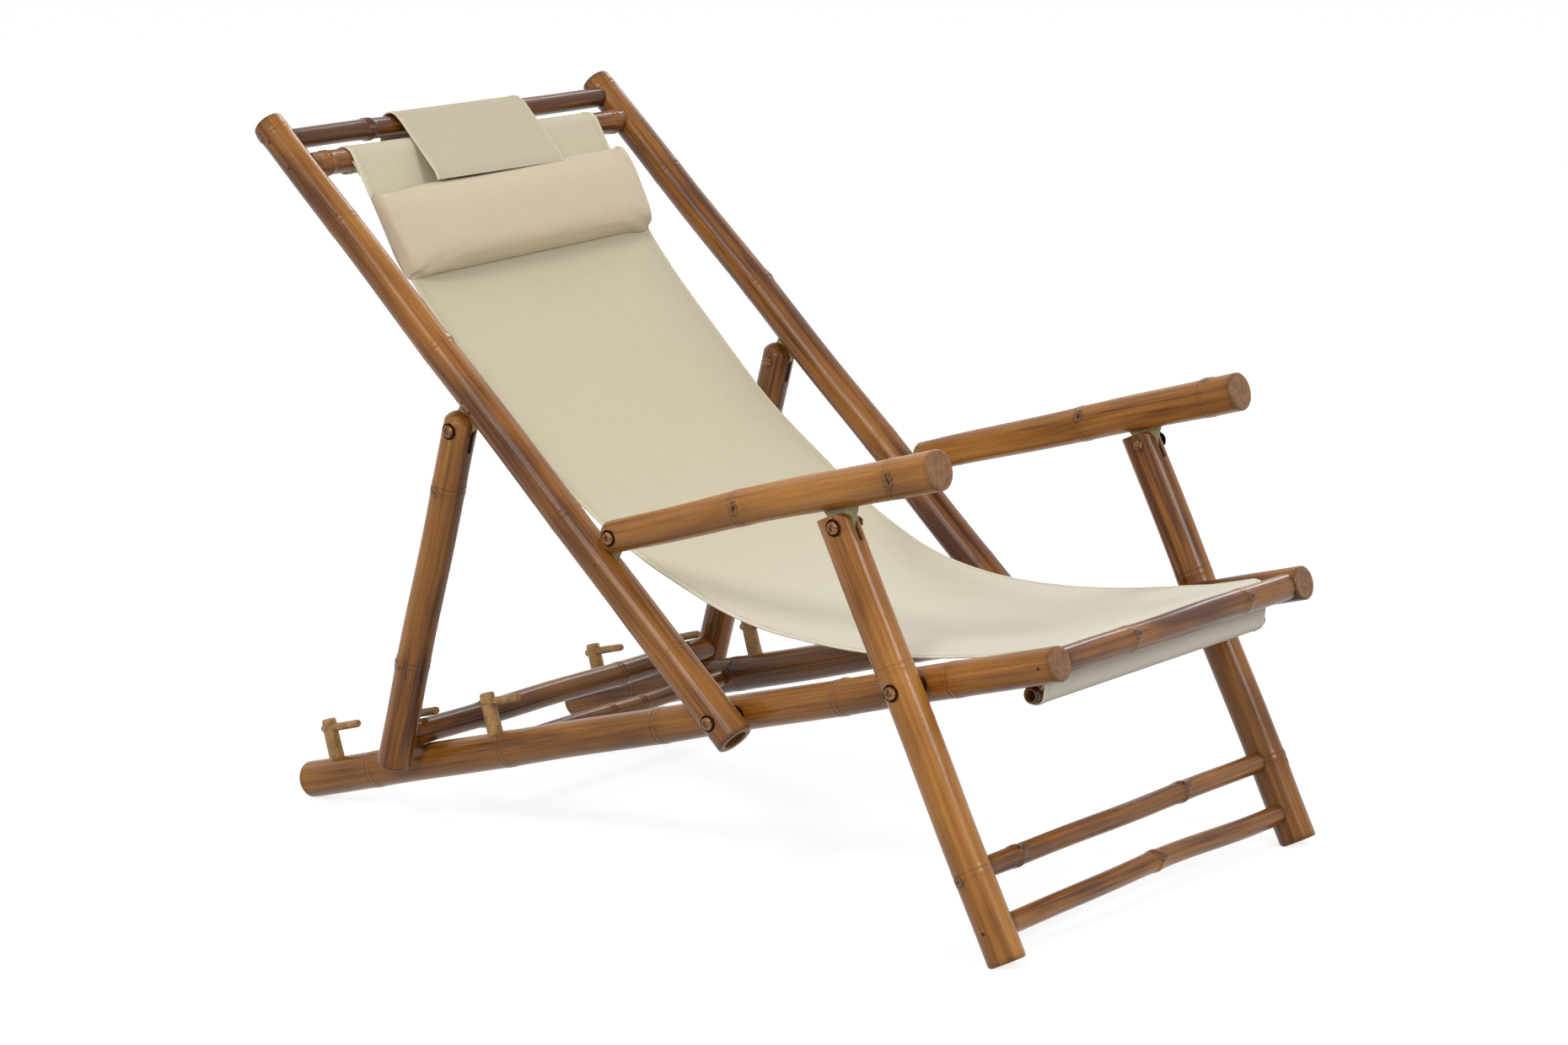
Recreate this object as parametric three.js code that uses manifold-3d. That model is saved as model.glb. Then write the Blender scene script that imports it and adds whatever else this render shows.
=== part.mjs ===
// Bamboo folding recliner: two reclined rails, a folding backrest, front legs, armrests and a prop.
// Millimetres, +Z up, +X to the foot end, origin on the floor under the middle of the bounding box.

import * as THREE from "three";
import { mergeVertices } from "three/addons/utils/BufferGeometryUtils.js";
import Module from "manifold-3d";

const wasm = await Module();
wasm.setup();

// Sling width, and the planes of the rails and the poles outside it
const SLING_HALF_WIDTH = 224;
const RAIL_OUTSET = 25.5;
const POLE_OUTSET = 50.5;
const RAIL_PLANE = SLING_HALF_WIDTH + RAIL_OUTSET;
const POLE_PLANE = RAIL_PLANE + POLE_OUTSET;

// Gaps between pieces, and round a turning bolt
const GAP = 0.3;
const RUNNING_GAP = 0.15;
const WELD = 0.001;

// Seat rails
const RAIL_REAR = [-550, 19];
const RAIL_FRONT = [557, 330.3];
const RAIL_REAR_RADIUS = 22.5;
const RAIL_FRONT_RADIUS = 20;
const RAIL_NODES = [118, 338, 575, 838, 1010];

// Backrest poles, measured along the pole from the back pivot
const BACK_PIVOT = [132.7, 212];
const BACK_ANGLE = 137.7;
const POLE_TOP = 922;
const POLE_TAIL = 30;
const POLE_TOP_RADIUS = 19;
const POLE_TAIL_RADIUS = 22.5;
const POLE_NODES = [95, 300, 560, 760, 905];

// Head bar, and the bar that the sling hangs from
const HEAD_BAR_STATION = 893.5;
const HEAD_BAR_RADIUS = 12.5;
const HEAD_BAR_NODE_SHARES = [-0.506, 0.361];
const SLING_BAR_STATION = 851.4;
const SLING_BAR_RADIUS = 14.5;
const SLING_BAR_NODE_SHARES = [-0.8625, 0.894];

// Front bars and the rod that holds the sling under them
const FRONT_BAR_STATION = 1134;
const FRONT_BAR_RADIUS = 15;
const FRONT_BAR_NODE_SHARES = [-0.405, 0.529];
const INNER_BAR_STATION = 1097;
const INNER_BAR_RADIUS = 14;
const FRONT_ROD_STATION = 1089;
const FRONT_ROD_OFFSET = 31.1;
const FRONT_ROD_REACH = 9;
const FRONT_ROD_HALF_LENGTH = SLING_HALF_WIDTH + FRONT_ROD_REACH;
const SLING_ROD_RADIUS = 10;

// Rear stretcher between the rails
const REAR_STRETCHER_STATION = 273;
const REAR_STRETCHER_RADIUS = 10.5;
const REAR_STRETCHER_NODE_SHARES = [0.043, 0.272];

// Front legs
const LEG_PIVOT = [385.5, 285.5];
const LEG_FOOT = [529.4, 0];
const LEG_FOOT_TRIM = 4.4;
const LEG_TOP = 215;
const LEG_RADIUS = 22;
const LEG_NODES = [190, 426];
const LEG_STRETCHER_RADIUS = 12;
const UPPER_STRETCHER_STATION = 211;
const UPPER_STRETCHER_NODE_SHARES = [-0.74, 0.367];
const LOWER_STRETCHER_STATION = 277;
const LOWER_STRETCHER_NODE_SHARES = [0.04];

// Armrests, measured along the armrest from its rear pivot
const ARM_PIVOT_STATION = 236.8;
const ARM_PIVOT_OFFSET = 44;
const ARM_ANGLE = 16.2;
const ARM_FRONT = 465;
const ARM_REAR_RADIUS = 19;
const ARM_FRONT_RADIUS = 23;
const ARM_NODES = [186, 406];
const ARM_END_RADIUS = 21.4;
const LEG_LINK_STATION = 322.5;
const LEG_LINK_DROP = 37.6;
const LEG_HEAD_REACH = 13.6;
const LEG_HEAD_SLOPE = 8;

// Prop, measured along the prop from its top pivot
const PROP_PIVOT_STATION = 477.1;
const PROP_PIVOT_OFFSET = 46;
const PROP_END_RADIUS = 22.5;
const PROP_LENGTH = 437;
const PROP_RADIUS = 20;
const PROP_NODES = [73, 299];
const PROP_BAR_STATION = 211;
const PROP_BAR_HEIGHT = 37.45;
const PROP_BAR_RADIUS = 15;
const PROP_BAR_NODE_SHARES = [-0.508, 0.358];

// Pegs on the rails
const PEG_STATIONS = [51.5, 185.6, 320];
const PEG_RADIUS = 9.5;
const HOOK_RADIUS = 5;
const HOOK_CLEARANCE = 1.55;
const HOOK_HEIGHT = PROP_BAR_HEIGHT + PROP_BAR_RADIUS + HOOK_CLEARANCE + HOOK_RADIUS;
const HOOK_TO_TOP = 11;
const PEG_HEIGHT = HOOK_HEIGHT + HOOK_TO_TOP;
const HOOK_REAR = 13;
const HOOK_FRONT = 49;

// Link plates, and the kerfs that they work in
const PLATE_THICKNESS = 5;
const KERF_WIDTH = 6.4;
const KERF_DEPTH = 23;
const PLATE_TIP_RADIUS = 12.5;
const PLATE_ROOT_HALF_WIDTH = 21;
const PLATE_ROOT_DEPTH = 15;
const LEG_PLATE_TIP_RADIUS = 13;
const LEG_PLATE_ROOT_HALF_WIDTH = 29;

// Pivot bolts
const BOLT_RADIUS = 3.5;
const BOLT_HEAD_RADIUS = 7.5;
const BOLT_HEAD_HEIGHT = 4;
const BOLT_RIM_SHARE = 0.35;
const BOLT_DOME_SHARE = 0.78;
const NUT_RADIUS = 6.5;
const NUT_HEIGHT = 3;
const NUT_SIDES = 6;
const WASHER_RADIUS = 11;

// Node swellings on a culm
const NODE_RISE = 1.5;
const NODE_REACH = 8;
const END_ROUNDING = 1.5;
const BORE_SHARE = 0.62;
const BORE_DEPTH = 28;

// Sling
const SLING_THICKNESS = 2.4;
const SLING_BACK_SAG = [
  [-456, 746],
  [-394, 653],
  [-298, 550],
  [-207, 465],
  [-117, 402],
  [-54, 366],
  [8, 340],
  [70, 317],
  [131, 303],
  [191, 297],
  [250, 295],
  [309, 298],
  [366, 304],
  [445, 316],
];

// Pillow and its strap
const PILLOW_CENTRE = [-411, 713];
const PILLOW_ANGLE = 122;
const PILLOW_LENGTH = 118;
const PILLOW_THICKNESS = 40;
const PILLOW_HALF_WIDTH = SLING_HALF_WIDTH;
const PILLOW_RING_SHARES = [0, 0.2, 0.4, 0.6, 0.8, 0.92, 1];
const PILLOW_CROWN_POWER = 6;
const PILLOW_CORNER_POWER = 0.8;
const PILLOW_END_LENGTH_SHARE = 0.8;
const PILLOW_END_DEPTH_SHARE = 0.16;
const STRAP_HALF_WIDTH = SLING_HALF_WIDTH / 2;
const STRAP_THICKNESS = 3;
const STRAP_RISE = 7;
const STRAP_HANG = 96;
const STRAP_LEAVES = 180;

// Facets
const CULM_SIDES = 14;
const BAR_SIDES = 12;
const SMALL_SIDES = 10;
const ARC_STEPS = 6;
const PILLOW_SIDES = 16;

const HALF_TURN = 180;
const FULL_TURN = 2 * HALF_TURN;
const QUARTER_TURN = HALF_TURN / 2;
const degrees = (angle) => (angle * Math.PI) / HALF_TURN;
const angleOf = (d) => (Math.atan2(d[1], d[0]) * HALF_TURN) / Math.PI;
const unit = (angle) => [Math.cos(degrees(angle)), Math.sin(degrees(angle))];
const plus = (p, d, reach) => [p[0] + d[0] * reach, p[1] + d[1] * reach];
const rear = (d) => [-d[1], d[0]];
const distance = (p, q) => Math.hypot(q[0] - p[0], q[1] - p[1]);
const toward = (p, q) => {
  const reach = distance(p, q);
  return [(q[0] - p[0]) / reach, (q[1] - p[1]) / reach];
};
const inSpace = (p, y) => new THREE.Vector3(p[0], y, p[1]);

// Directions of the members in the side view, and the pivots that follow from them
const RAIL = toward(RAIL_REAR, RAIL_FRONT);
const RAIL_LENGTH = distance(RAIL_REAR, RAIL_FRONT);
const POLE = unit(BACK_ANGLE);
const BEHIND_POLE = rear(POLE);
const ARM = unit(ARM_ANGLE);
const LEG = toward(LEG_PIVOT, LEG_FOOT);
const onRail = (station, height) => plus(plus(RAIL_REAR, RAIL, station), rear(RAIL), height);
const onPole = (station, offset) => plus(plus(BACK_PIVOT, POLE, station), BEHIND_POLE, offset);
const ARM_PIVOT = onPole(ARM_PIVOT_STATION, -ARM_PIVOT_OFFSET);
const PROP_PIVOT = onPole(PROP_PIVOT_STATION, PROP_PIVOT_OFFSET);
const LEG_LINK = plus(plus(ARM_PIVOT, ARM, LEG_LINK_STATION), rear(ARM), -LEG_LINK_DROP);
const PROP_BAR = onRail(PROP_BAR_STATION, PROP_BAR_HEIGHT);
const PROP = toward(PROP_PIVOT, PROP_BAR);

const group = new THREE.Group();

// A closed geometry as a solid that can be cut and joined.
function solid(geometry) {
  const loose = geometry.index ? geometry.toNonIndexed() : geometry.clone();
  const bare = new THREE.BufferGeometry();
  bare.setAttribute("position", loose.getAttribute("position"));
  const merged = mergeVertices(bare, WELD);
  const corners = merged.index.array;
  const kept = [];
  for (let i = 0; i < corners.length; i += 3) {
    const [a, b, c] = corners.slice(i, i + 3);
    if (a !== b && b !== c && c !== a) kept.push(a, b, c);
  }
  const vertProperties = merged.attributes.position.array;
  const triVerts = new Uint32Array(kept);
  const body = new wasm.Manifold(new wasm.Mesh({ numProp: 3, vertProperties, triVerts }));
  if (body.volume() > 0) return body;
  for (let i = 0; i < triVerts.length; i += 3) {
    [triVerts[i + 1], triVerts[i + 2]] = [triVerts[i + 2], triVerts[i + 1]];
  }
  return new wasm.Manifold(new wasm.Mesh({ numProp: 3, vertProperties, triVerts }));
}

// A finished solid as a named mesh of the chair.
function add(name, body, colour) {
  const found = body.getMesh();
  const geometry = new THREE.BufferGeometry();
  const positions = new Float32Array(found.numVert * 3);
  for (let i = 0; i < found.numVert; i++) {
    positions.set(found.vertProperties.subarray(i * found.numProp, i * found.numProp + 3), i * 3);
  }
  geometry.setAttribute("position", new THREE.BufferAttribute(positions, 3));
  geometry.setIndex(new THREE.BufferAttribute(found.triVerts, 1));
  const material = new THREE.MeshStandardMaterial({ color: colour });
  const mesh = new THREE.Mesh(geometry, material);
  mesh.name = name;
  group.add(mesh);
}

const BAMBOO = "#a8703c";
const PEG_WOOD = "#c79a5c";
const PLATE_WOOD = "#8d8340";
const METAL = "#8a5a3a";
const CANVAS = "#cdc6ac";

// The profile of a culm: radius and height pairs, with a swelling at each node.
function culmProfile(length, radii, nodes, ends, grow) {
  const [startRadius, endRadius] = radii;
  const radiusAt = (t) => startRadius + ((endRadius - startRadius) * t) / length + grow;
  const low = -grow;
  const high = length + grow;
  const points = [];
  if (ends.startDome) {
    points.push(...domePoints(ends.startDome, radiusAt(0), grow));
  } else if (ends.startBore) {
    points.push([0, BORE_DEPTH], [radiusAt(0) * BORE_SHARE, BORE_DEPTH]);
    points.push([radiusAt(0) * BORE_SHARE, low], [radiusAt(0) - END_ROUNDING, low]);
    points.push([radiusAt(0), low + END_ROUNDING]);
  } else {
    points.push([0, low], [radiusAt(0) - END_ROUNDING, low], [radiusAt(0), low + END_ROUNDING]);
  }
  for (const t of nodes) {
    points.push([radiusAt(t), t - NODE_REACH]);
    points.push([radiusAt(t) + NODE_RISE, t]);
    points.push([radiusAt(t), t + NODE_REACH]);
  }
  points.push([radiusAt(length), high - END_ROUNDING], [radiusAt(length) - END_ROUNDING, high]);
  if (ends.endBore) {
    points.push([radiusAt(length) * BORE_SHARE, high]);
    points.push([radiusAt(length) * BORE_SHARE, length - BORE_DEPTH], [0, length - BORE_DEPTH]);
  } else {
    points.push([0, high]);
  }
  return points.map(([r, t]) => new THREE.Vector2(r, t));
}

// The rounded start of a culm whose pivot stands at height zero.
function domePoints(domeRadius, culmRadius, grow) {
  const reach = domeRadius + grow;
  const widest = Math.asin(Math.min(culmRadius / reach, 1));
  const points = [];
  for (let i = 0; i <= ARC_STEPS; i++) {
    const turn = (widest * i) / ARC_STEPS;
    points.push([reach * Math.sin(turn), -reach * Math.cos(turn)]);
  }
  return points;
}

// Puts a geometry built along Y on the line from start toward end.
function placeAlong(geometry, start, end, across) {
  const up = end.clone().sub(start).normalize();
  const side = across.clone();
  const third = up.clone().cross(side).normalize();
  const basis = new THREE.Matrix4().makeBasis(side, up, third);
  basis.setPosition(start);
  return geometry.applyMatrix4(basis);
}

const ACROSS = new THREE.Vector3(0, 1, 0);

// A culm in a side plane of the chair.
function culm(start, end, y, radii, nodes, ends = {}, grow = 0) {
  const length = distance(start, end);
  const profile = culmProfile(length, radii, nodes, ends, grow);
  const lathe = new THREE.LatheGeometry(profile, CULM_SIDES);
  return solid(placeAlong(lathe, inSpace(start, y), inSpace(end, y), ACROSS));
}

// A bar across the chair, from one side plane to the other.
function crossBar(at, halfLength, radius, nodes, sides = BAR_SIDES, ends = {}, grow = 0) {
  const profile = culmProfile(halfLength * 2, [radius, radius], nodes, ends, grow);
  const lathe = new THREE.LatheGeometry(profile, sides);
  const sideways = new THREE.Vector3(RAIL[0], 0, RAIL[1]);
  return solid(placeAlong(lathe, inSpace(at, -halfLength), inSpace(at, halfLength), sideways));
}

// A plain round pin or bore along Y.
function pin(at, low, high, radius, sides = BAR_SIDES) {
  const rod = new THREE.CylinderGeometry(radius, radius, high - low, sides);
  rod.translate(at[0], (low + high) / 2, at[1]);
  return solid(rod);
}

// A side view outline given a thickness across the chair.
function slab(outline, y, thickness) {
  const shape = new THREE.Shape(outline.map(([x, z]) => new THREE.Vector2(x, z)));
  const plate = new THREE.ExtrudeGeometry(shape, {
    depth: thickness,
    bevelEnabled: false,
  });
  plate.rotateX(Math.PI / 2);
  plate.translate(0, y + thickness / 2, 0);
  return solid(plate);
}

// The outline of a link plate: a straight root in its member, and a round tip about the pivot.
function plateOutline(pivot, rootCentre, rootHalfWidth, tipRadius, grow) {
  const out = toward(rootCentre, pivot);
  const side = rear(out);
  const tip = tipRadius + grow;
  const root = plus(rootCentre, out, -grow);
  const outline = [plus(root, side, -(rootHalfWidth + grow))];
  const steps = ARC_STEPS * 2;
  for (let i = 0; i <= steps; i++) {
    const turn = -Math.PI / 2 + (Math.PI * i) / steps;
    outline.push(plus(plus(pivot, out, tip * Math.cos(turn)), side, tip * Math.sin(turn)));
  }
  outline.push(plus(root, side, rootHalfWidth + grow));
  return outline;
}

// A kerf across a member's end, from beyond the end to a depth past the pivot.
function kerf(pivot, direction, y) {
  const reach = LEG_TOP;
  const near = plus(pivot, direction, -reach);
  const far = plus(pivot, direction, KERF_DEPTH);
  const side = rear(direction);
  const wide = LEG_RADIUS * 2;
  const outline = [
    plus(near, side, -wide),
    plus(far, side, -wide),
    plus(far, side, wide),
    plus(near, side, wide),
  ];
  return slab(outline, y, KERF_WIDTH);
}

// The two sides of the chair
const SIDES = [
  { name: "left", sign: 1 },
  { name: "right", sign: -1 },
];

const RAIL_RADII = [RAIL_REAR_RADIUS, RAIL_FRONT_RADIUS];
const POLE_RADII = [POLE_TAIL_RADIUS, POLE_TOP_RADIUS];
const POLE_START = onPole(-POLE_TAIL, 0);
const POLE_END = onPole(POLE_TOP, 0);
const POLE_STATIONS = POLE_NODES.map((t) => t + POLE_TAIL);
const poleRadiusAt = (t) => {
  const share = (t + POLE_TAIL) / (POLE_TOP + POLE_TAIL);
  return POLE_TAIL_RADIUS + (POLE_TOP_RADIUS - POLE_TAIL_RADIUS) * share;
};
const railRadiusAt = (s) => {
  const share = s / RAIL_LENGTH;
  return RAIL_REAR_RADIUS + (RAIL_FRONT_RADIUS - RAIL_REAR_RADIUS) * share;
};

const rail = (y, grow = 0) =>
  culm(RAIL_REAR, RAIL_FRONT, y, RAIL_RADII, RAIL_NODES, { startBore: !grow }, grow);
const pole = (y, grow = 0) =>
  culm(POLE_START, POLE_END, y, POLE_RADII, POLE_STATIONS, { startBore: !grow }, grow);

const LEG_HEAD = plus(LEG_PIVOT, LEG, -LEG_TOP);
const LEG_END = plus(LEG_FOOT, LEG, -LEG_FOOT_TRIM);
const leg = (y, grow = 0) =>
  culm(LEG_HEAD, LEG_END, y, [LEG_RADIUS, LEG_RADIUS], LEG_NODES, {}, grow);

const PROP_FOOT = plus(PROP_PIVOT, PROP, PROP_LENGTH);
const prop = (y, grow = 0) => {
  const ends = { startDome: PROP_END_RADIUS, endBore: !grow };
  return culm(PROP_PIVOT, PROP_FOOT, y, [PROP_RADIUS, PROP_RADIUS], PROP_NODES, ends, grow);
};

const ARM_END = plus(ARM_PIVOT, ARM, ARM_FRONT);
const armrest = (y) => {
  const ends = { startDome: ARM_END_RADIUS };
  return culm(ARM_PIVOT, ARM_END, y, [ARM_REAR_RADIUS, ARM_FRONT_RADIUS], ARM_NODES, ends);
};

// Everything below the floor, for feet that stand flat
function underFloor() {
  const half = RAIL_LENGTH;
  const block = new THREE.BoxGeometry(half * 2, half * 2, half);
  block.translate(0, 0, -half / 2);
  return solid(block);
}

// Link plate outlines in the poles and the armrests
const ARM_PLATE_SEAT = poleRadiusAt(ARM_PIVOT_STATION) - PLATE_ROOT_DEPTH;
const PROP_PLATE_SEAT = poleRadiusAt(PROP_PIVOT_STATION) - PLATE_ROOT_DEPTH;
const ARM_PLATE_ROOT = onPole(ARM_PIVOT_STATION, -ARM_PLATE_SEAT);
const PROP_PLATE_ROOT = onPole(PROP_PIVOT_STATION, PROP_PLATE_SEAT);
const LEG_PLATE_ROOT = plus(LEG_LINK, rear(ARM), LEG_LINK_DROP - ARM_REAR_RADIUS / 2);
const armPlate = (grow) =>
  plateOutline(ARM_PIVOT, ARM_PLATE_ROOT, PLATE_ROOT_HALF_WIDTH, PLATE_TIP_RADIUS, grow);
const propPlate = (grow) =>
  plateOutline(PROP_PIVOT, PROP_PLATE_ROOT, PLATE_ROOT_HALF_WIDTH, PLATE_TIP_RADIUS, grow);
const legPlate = (grow) =>
  plateOutline(LEG_LINK, LEG_PLATE_ROOT, LEG_PLATE_ROOT_HALF_WIDTH, LEG_PLATE_TIP_RADIUS, grow);
const MORTISE_WIDTH = PLATE_THICKNESS + 2 * GAP;

// The part of a leg's head that is cut away so that it clears the armrest as it folds
function legHeadCut(y) {
  const start = ARM_ANGLE + LEG_HEAD_SLOPE + QUARTER_TURN;
  const end = angleOf(LEG) + QUARTER_TURN;
  const outline = [];
  const back = plus(LEG_LINK, unit(start), LEG_HEAD_REACH);
  outline.push(plus(back, unit(start + QUARTER_TURN), LEG_TOP));
  for (let i = 0; i <= ARC_STEPS; i++) {
    const angle = start + ((end - start) * i) / ARC_STEPS;
    outline.push(plus(LEG_LINK, unit(angle), LEG_HEAD_REACH));
  }
  const front = outline[outline.length - 1];
  outline.push(plus(front, LEG, LEG_RADIUS));
  outline.push(plus(plus(front, LEG, LEG_RADIUS), unit(end), LEG_TOP));
  outline.push(plus(plus(front, LEG, -LEG_TOP), unit(end), LEG_TOP));
  outline.push(plus(plus(back, ARM, -LEG_TOP), rear(ARM), LEG_TOP));
  return slab(outline.reverse(), y, LEG_RADIUS * 4);
}

// A bolt with a domed head at one end and a nut at the other, facing out of the chair.
function bolt(at, sign, outer, inner) {
  const heads = [
    new THREE.Vector2(0, 0),
    new THREE.Vector2(BOLT_HEAD_RADIUS, 0),
    new THREE.Vector2(BOLT_HEAD_RADIUS, BOLT_HEAD_HEIGHT * BOLT_RIM_SHARE),
    new THREE.Vector2(BOLT_HEAD_RADIUS * BOLT_DOME_SHARE, BOLT_HEAD_HEIGHT * BOLT_DOME_SHARE),
    new THREE.Vector2(0, BOLT_HEAD_HEIGHT),
  ];
  const head = new THREE.LatheGeometry(heads, BAR_SIDES);
  if (sign < 0) head.rotateX(Math.PI);
  head.translate(at[0], sign * outer, at[1]);
  const shankLow = Math.min(sign * (outer + GAP), sign * (inner - GAP));
  const shankHigh = Math.max(sign * (outer + GAP), sign * (inner - GAP));
  const nutLow = Math.min(sign * inner, sign * (inner - NUT_HEIGHT));
  const nutHigh = Math.max(sign * inner, sign * (inner - NUT_HEIGHT));
  const shank = pin(at, shankLow, shankHigh, BOLT_RADIUS, BAR_SIDES);
  const nut = pin(at, nutLow, nutHigh, NUT_RADIUS, NUT_SIDES);
  return solid(head).add(shank).add(nut);
}

const boreRadius = BOLT_RADIUS + RUNNING_GAP;
const bore = (at, y) => pin(at, y - LEG_RADIUS * 2, y + LEG_RADIUS * 2, boreRadius, BAR_SIDES);

// A washer between a rail and the member outside it.
function washer(at, sign, inner, outer) {
  const low = Math.min(sign * inner, sign * outer);
  const high = Math.max(sign * inner, sign * outer);
  const ring = pin(at, low, high, WASHER_RADIUS, BAR_SIDES);
  return ring.subtract(pin(at, low - GAP, high + GAP, boreRadius, BAR_SIDES));
}

const BACK_PIVOT_STATION =
  (BACK_PIVOT[0] - RAIL_REAR[0]) * RAIL[0] + (BACK_PIVOT[1] - RAIL_REAR[1]) * RAIL[1];
const LEG_PIVOT_STATION =
  (LEG_PIVOT[0] - RAIL_REAR[0]) * RAIL[0] + (LEG_PIVOT[1] - RAIL_REAR[1]) * RAIL[1];

for (const { name, sign } of SIDES) {
  const outside = sign * POLE_PLANE;
  const inside = sign * RAIL_PLANE;

  // Seat rail, drilled for the back pivot and the leg pivot
  const railBody = rail(inside)
    .subtract(bore(BACK_PIVOT, inside))
    .subtract(bore(LEG_PIVOT, inside))
    .subtract(underFloor());
  add("rail_" + name, railBody, BAMBOO);

  // Pegs on the rail, each a post with a rod through it
  PEG_STATIONS.forEach((station, index) => {
    const hookStart = onRail(station - HOOK_REAR, HOOK_HEIGHT);
    const hookEnd = onRail(station + HOOK_FRONT, HOOK_HEIGHT);
    const post = new THREE.CylinderGeometry(PEG_RADIUS, PEG_RADIUS, PEG_HEIGHT, BAR_SIDES);
    post.translate(0, PEG_HEIGHT / 2, 0);
    const foot = inSpace(onRail(station, 0), inside);
    const head = inSpace(onRail(station, PEG_HEIGHT), inside);
    const hookLength = HOOK_REAR + HOOK_FRONT;
    const rod = new THREE.CylinderGeometry(HOOK_RADIUS, HOOK_RADIUS, hookLength, SMALL_SIDES);
    rod.translate(0, hookLength / 2, 0);
    placeAlong(rod, inSpace(hookStart, inside), inSpace(hookEnd, inside), ACROSS);
    const holeRadius = HOOK_RADIUS + GAP;
    const hole = new THREE.CylinderGeometry(holeRadius, holeRadius, RAIL_LENGTH, SMALL_SIDES);
    placeAlong(hole, inSpace(hookStart, inside), inSpace(hookEnd, inside), ACROSS);
    const postBody = solid(placeAlong(post, foot, head, ACROSS))
      .subtract(rail(inside, GAP))
      .subtract(solid(hole));
    add("peg_post_" + name + "_" + (index + 1), postBody, PEG_WOOD);
    add("peg_hook_" + name + "_" + (index + 1), solid(rod), PEG_WOOD);
  });

  // Backrest pole, with mortises for its two link plates
  const poleBody = pole(outside)
    .subtract(bore(BACK_PIVOT, outside))
    .subtract(slab(armPlate(GAP), outside, MORTISE_WIDTH))
    .subtract(slab(propPlate(GAP), outside, MORTISE_WIDTH));
  add("backrest_pole_" + name, poleBody, BAMBOO);

  const armLink = slab(armPlate(0), outside, PLATE_THICKNESS).subtract(bore(ARM_PIVOT, outside));
  add("armrest_link_plate_" + name, armLink, PLATE_WOOD);
  const propLink = slab(propPlate(0), outside, PLATE_THICKNESS).subtract(bore(PROP_PIVOT, outside));
  add("prop_link_plate_" + name, propLink, PLATE_WOOD);

  // Front leg, sawn square at the foot with a flat at its heel, and rounded at the head
  const legBody = leg(outside)
    .subtract(bore(LEG_PIVOT, outside))
    .subtract(bore(LEG_LINK, outside))
    .subtract(legHeadCut(outside))
    .subtract(kerf(LEG_LINK, LEG, outside))
    .subtract(underFloor());
  add("front_leg_" + name, legBody, BAMBOO);

  // Armrest, kerfed over the pole's plate and carrying the plate that the leg holds
  const armBody = armrest(outside)
    .subtract(bore(ARM_PIVOT, outside))
    .subtract(kerf(ARM_PIVOT, ARM, outside))
    .subtract(slab(legPlate(GAP), outside, MORTISE_WIDTH));
  add("armrest_" + name, armBody, BAMBOO);
  const looseBore = pin(LEG_LINK, outside - LEG_RADIUS, outside + LEG_RADIUS, BOLT_RADIUS + GAP);
  const legLink = slab(legPlate(0), outside, PLATE_THICKNESS).subtract(looseBore);
  add("leg_link_plate_" + name, legLink, PLATE_WOOD);

  // Prop leg, kerfed over the pole's plate
  const propBody = prop(outside)
    .subtract(bore(PROP_PIVOT, outside))
    .subtract(kerf(PROP_PIVOT, PROP, outside));
  add("prop_leg_" + name, propBody, BAMBOO);

  // Pivot bolts and washers
  const railFace = RAIL_PLANE - railRadiusAt(BACK_PIVOT_STATION) - GAP;
  const poleFace = POLE_PLANE + poleRadiusAt(0) + GAP;
  add("back_pivot_bolt_" + name, bolt(BACK_PIVOT, sign, poleFace, railFace), METAL);
  const backWasherInner = RAIL_PLANE + railRadiusAt(BACK_PIVOT_STATION) + GAP;
  const backWasherOuter = POLE_PLANE - poleRadiusAt(0) - GAP;
  add("back_pivot_washer_" + name, washer(BACK_PIVOT, sign, backWasherInner, backWasherOuter), METAL);

  const legRailFace = RAIL_PLANE - railRadiusAt(LEG_PIVOT_STATION) - GAP;
  const legFace = POLE_PLANE + LEG_RADIUS + GAP;
  add("leg_pivot_bolt_" + name, bolt(LEG_PIVOT, sign, legFace, legRailFace), METAL);
  const legWasherInner = RAIL_PLANE + railRadiusAt(LEG_PIVOT_STATION) + GAP;
  const legWasherOuter = POLE_PLANE - LEG_RADIUS - GAP;
  add("leg_pivot_washer_" + name, washer(LEG_PIVOT, sign, legWasherInner, legWasherOuter), METAL);

  const armHalf = ARM_REAR_RADIUS + GAP;
  const armBolt = bolt(ARM_PIVOT, sign, POLE_PLANE + armHalf, POLE_PLANE - armHalf);
  add("armrest_bolt_" + name, armBolt, METAL);
  const linkHalf = LEG_RADIUS + GAP;
  const linkBolt = bolt(LEG_LINK, sign, POLE_PLANE + linkHalf, POLE_PLANE - linkHalf);
  add("leg_link_bolt_" + name, linkBolt, METAL);
  const propHalf = PROP_RADIUS + GAP;
  const propBolt = bolt(PROP_PIVOT, sign, POLE_PLANE + propHalf, POLE_PLANE - propHalf);
  add("prop_bolt_" + name, propBolt, METAL);
}

// A cross bar whose ends are shaped to fit the members on both sides. Its nodes are given as
// shares of the way from the middle of the chair to the members' plane.
function copedBar(name, at, plane, radius, nodeShares, member) {
  const halfLength = plane - radius / 2;
  const nodes = nodeShares.map((share) => halfLength + share * plane);
  let body = crossBar(at, halfLength, radius, nodes);
  for (const { sign } of SIDES) {
    body = body.subtract(member(sign * plane, GAP));
  }
  add(name, body, BAMBOO);
}

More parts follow.
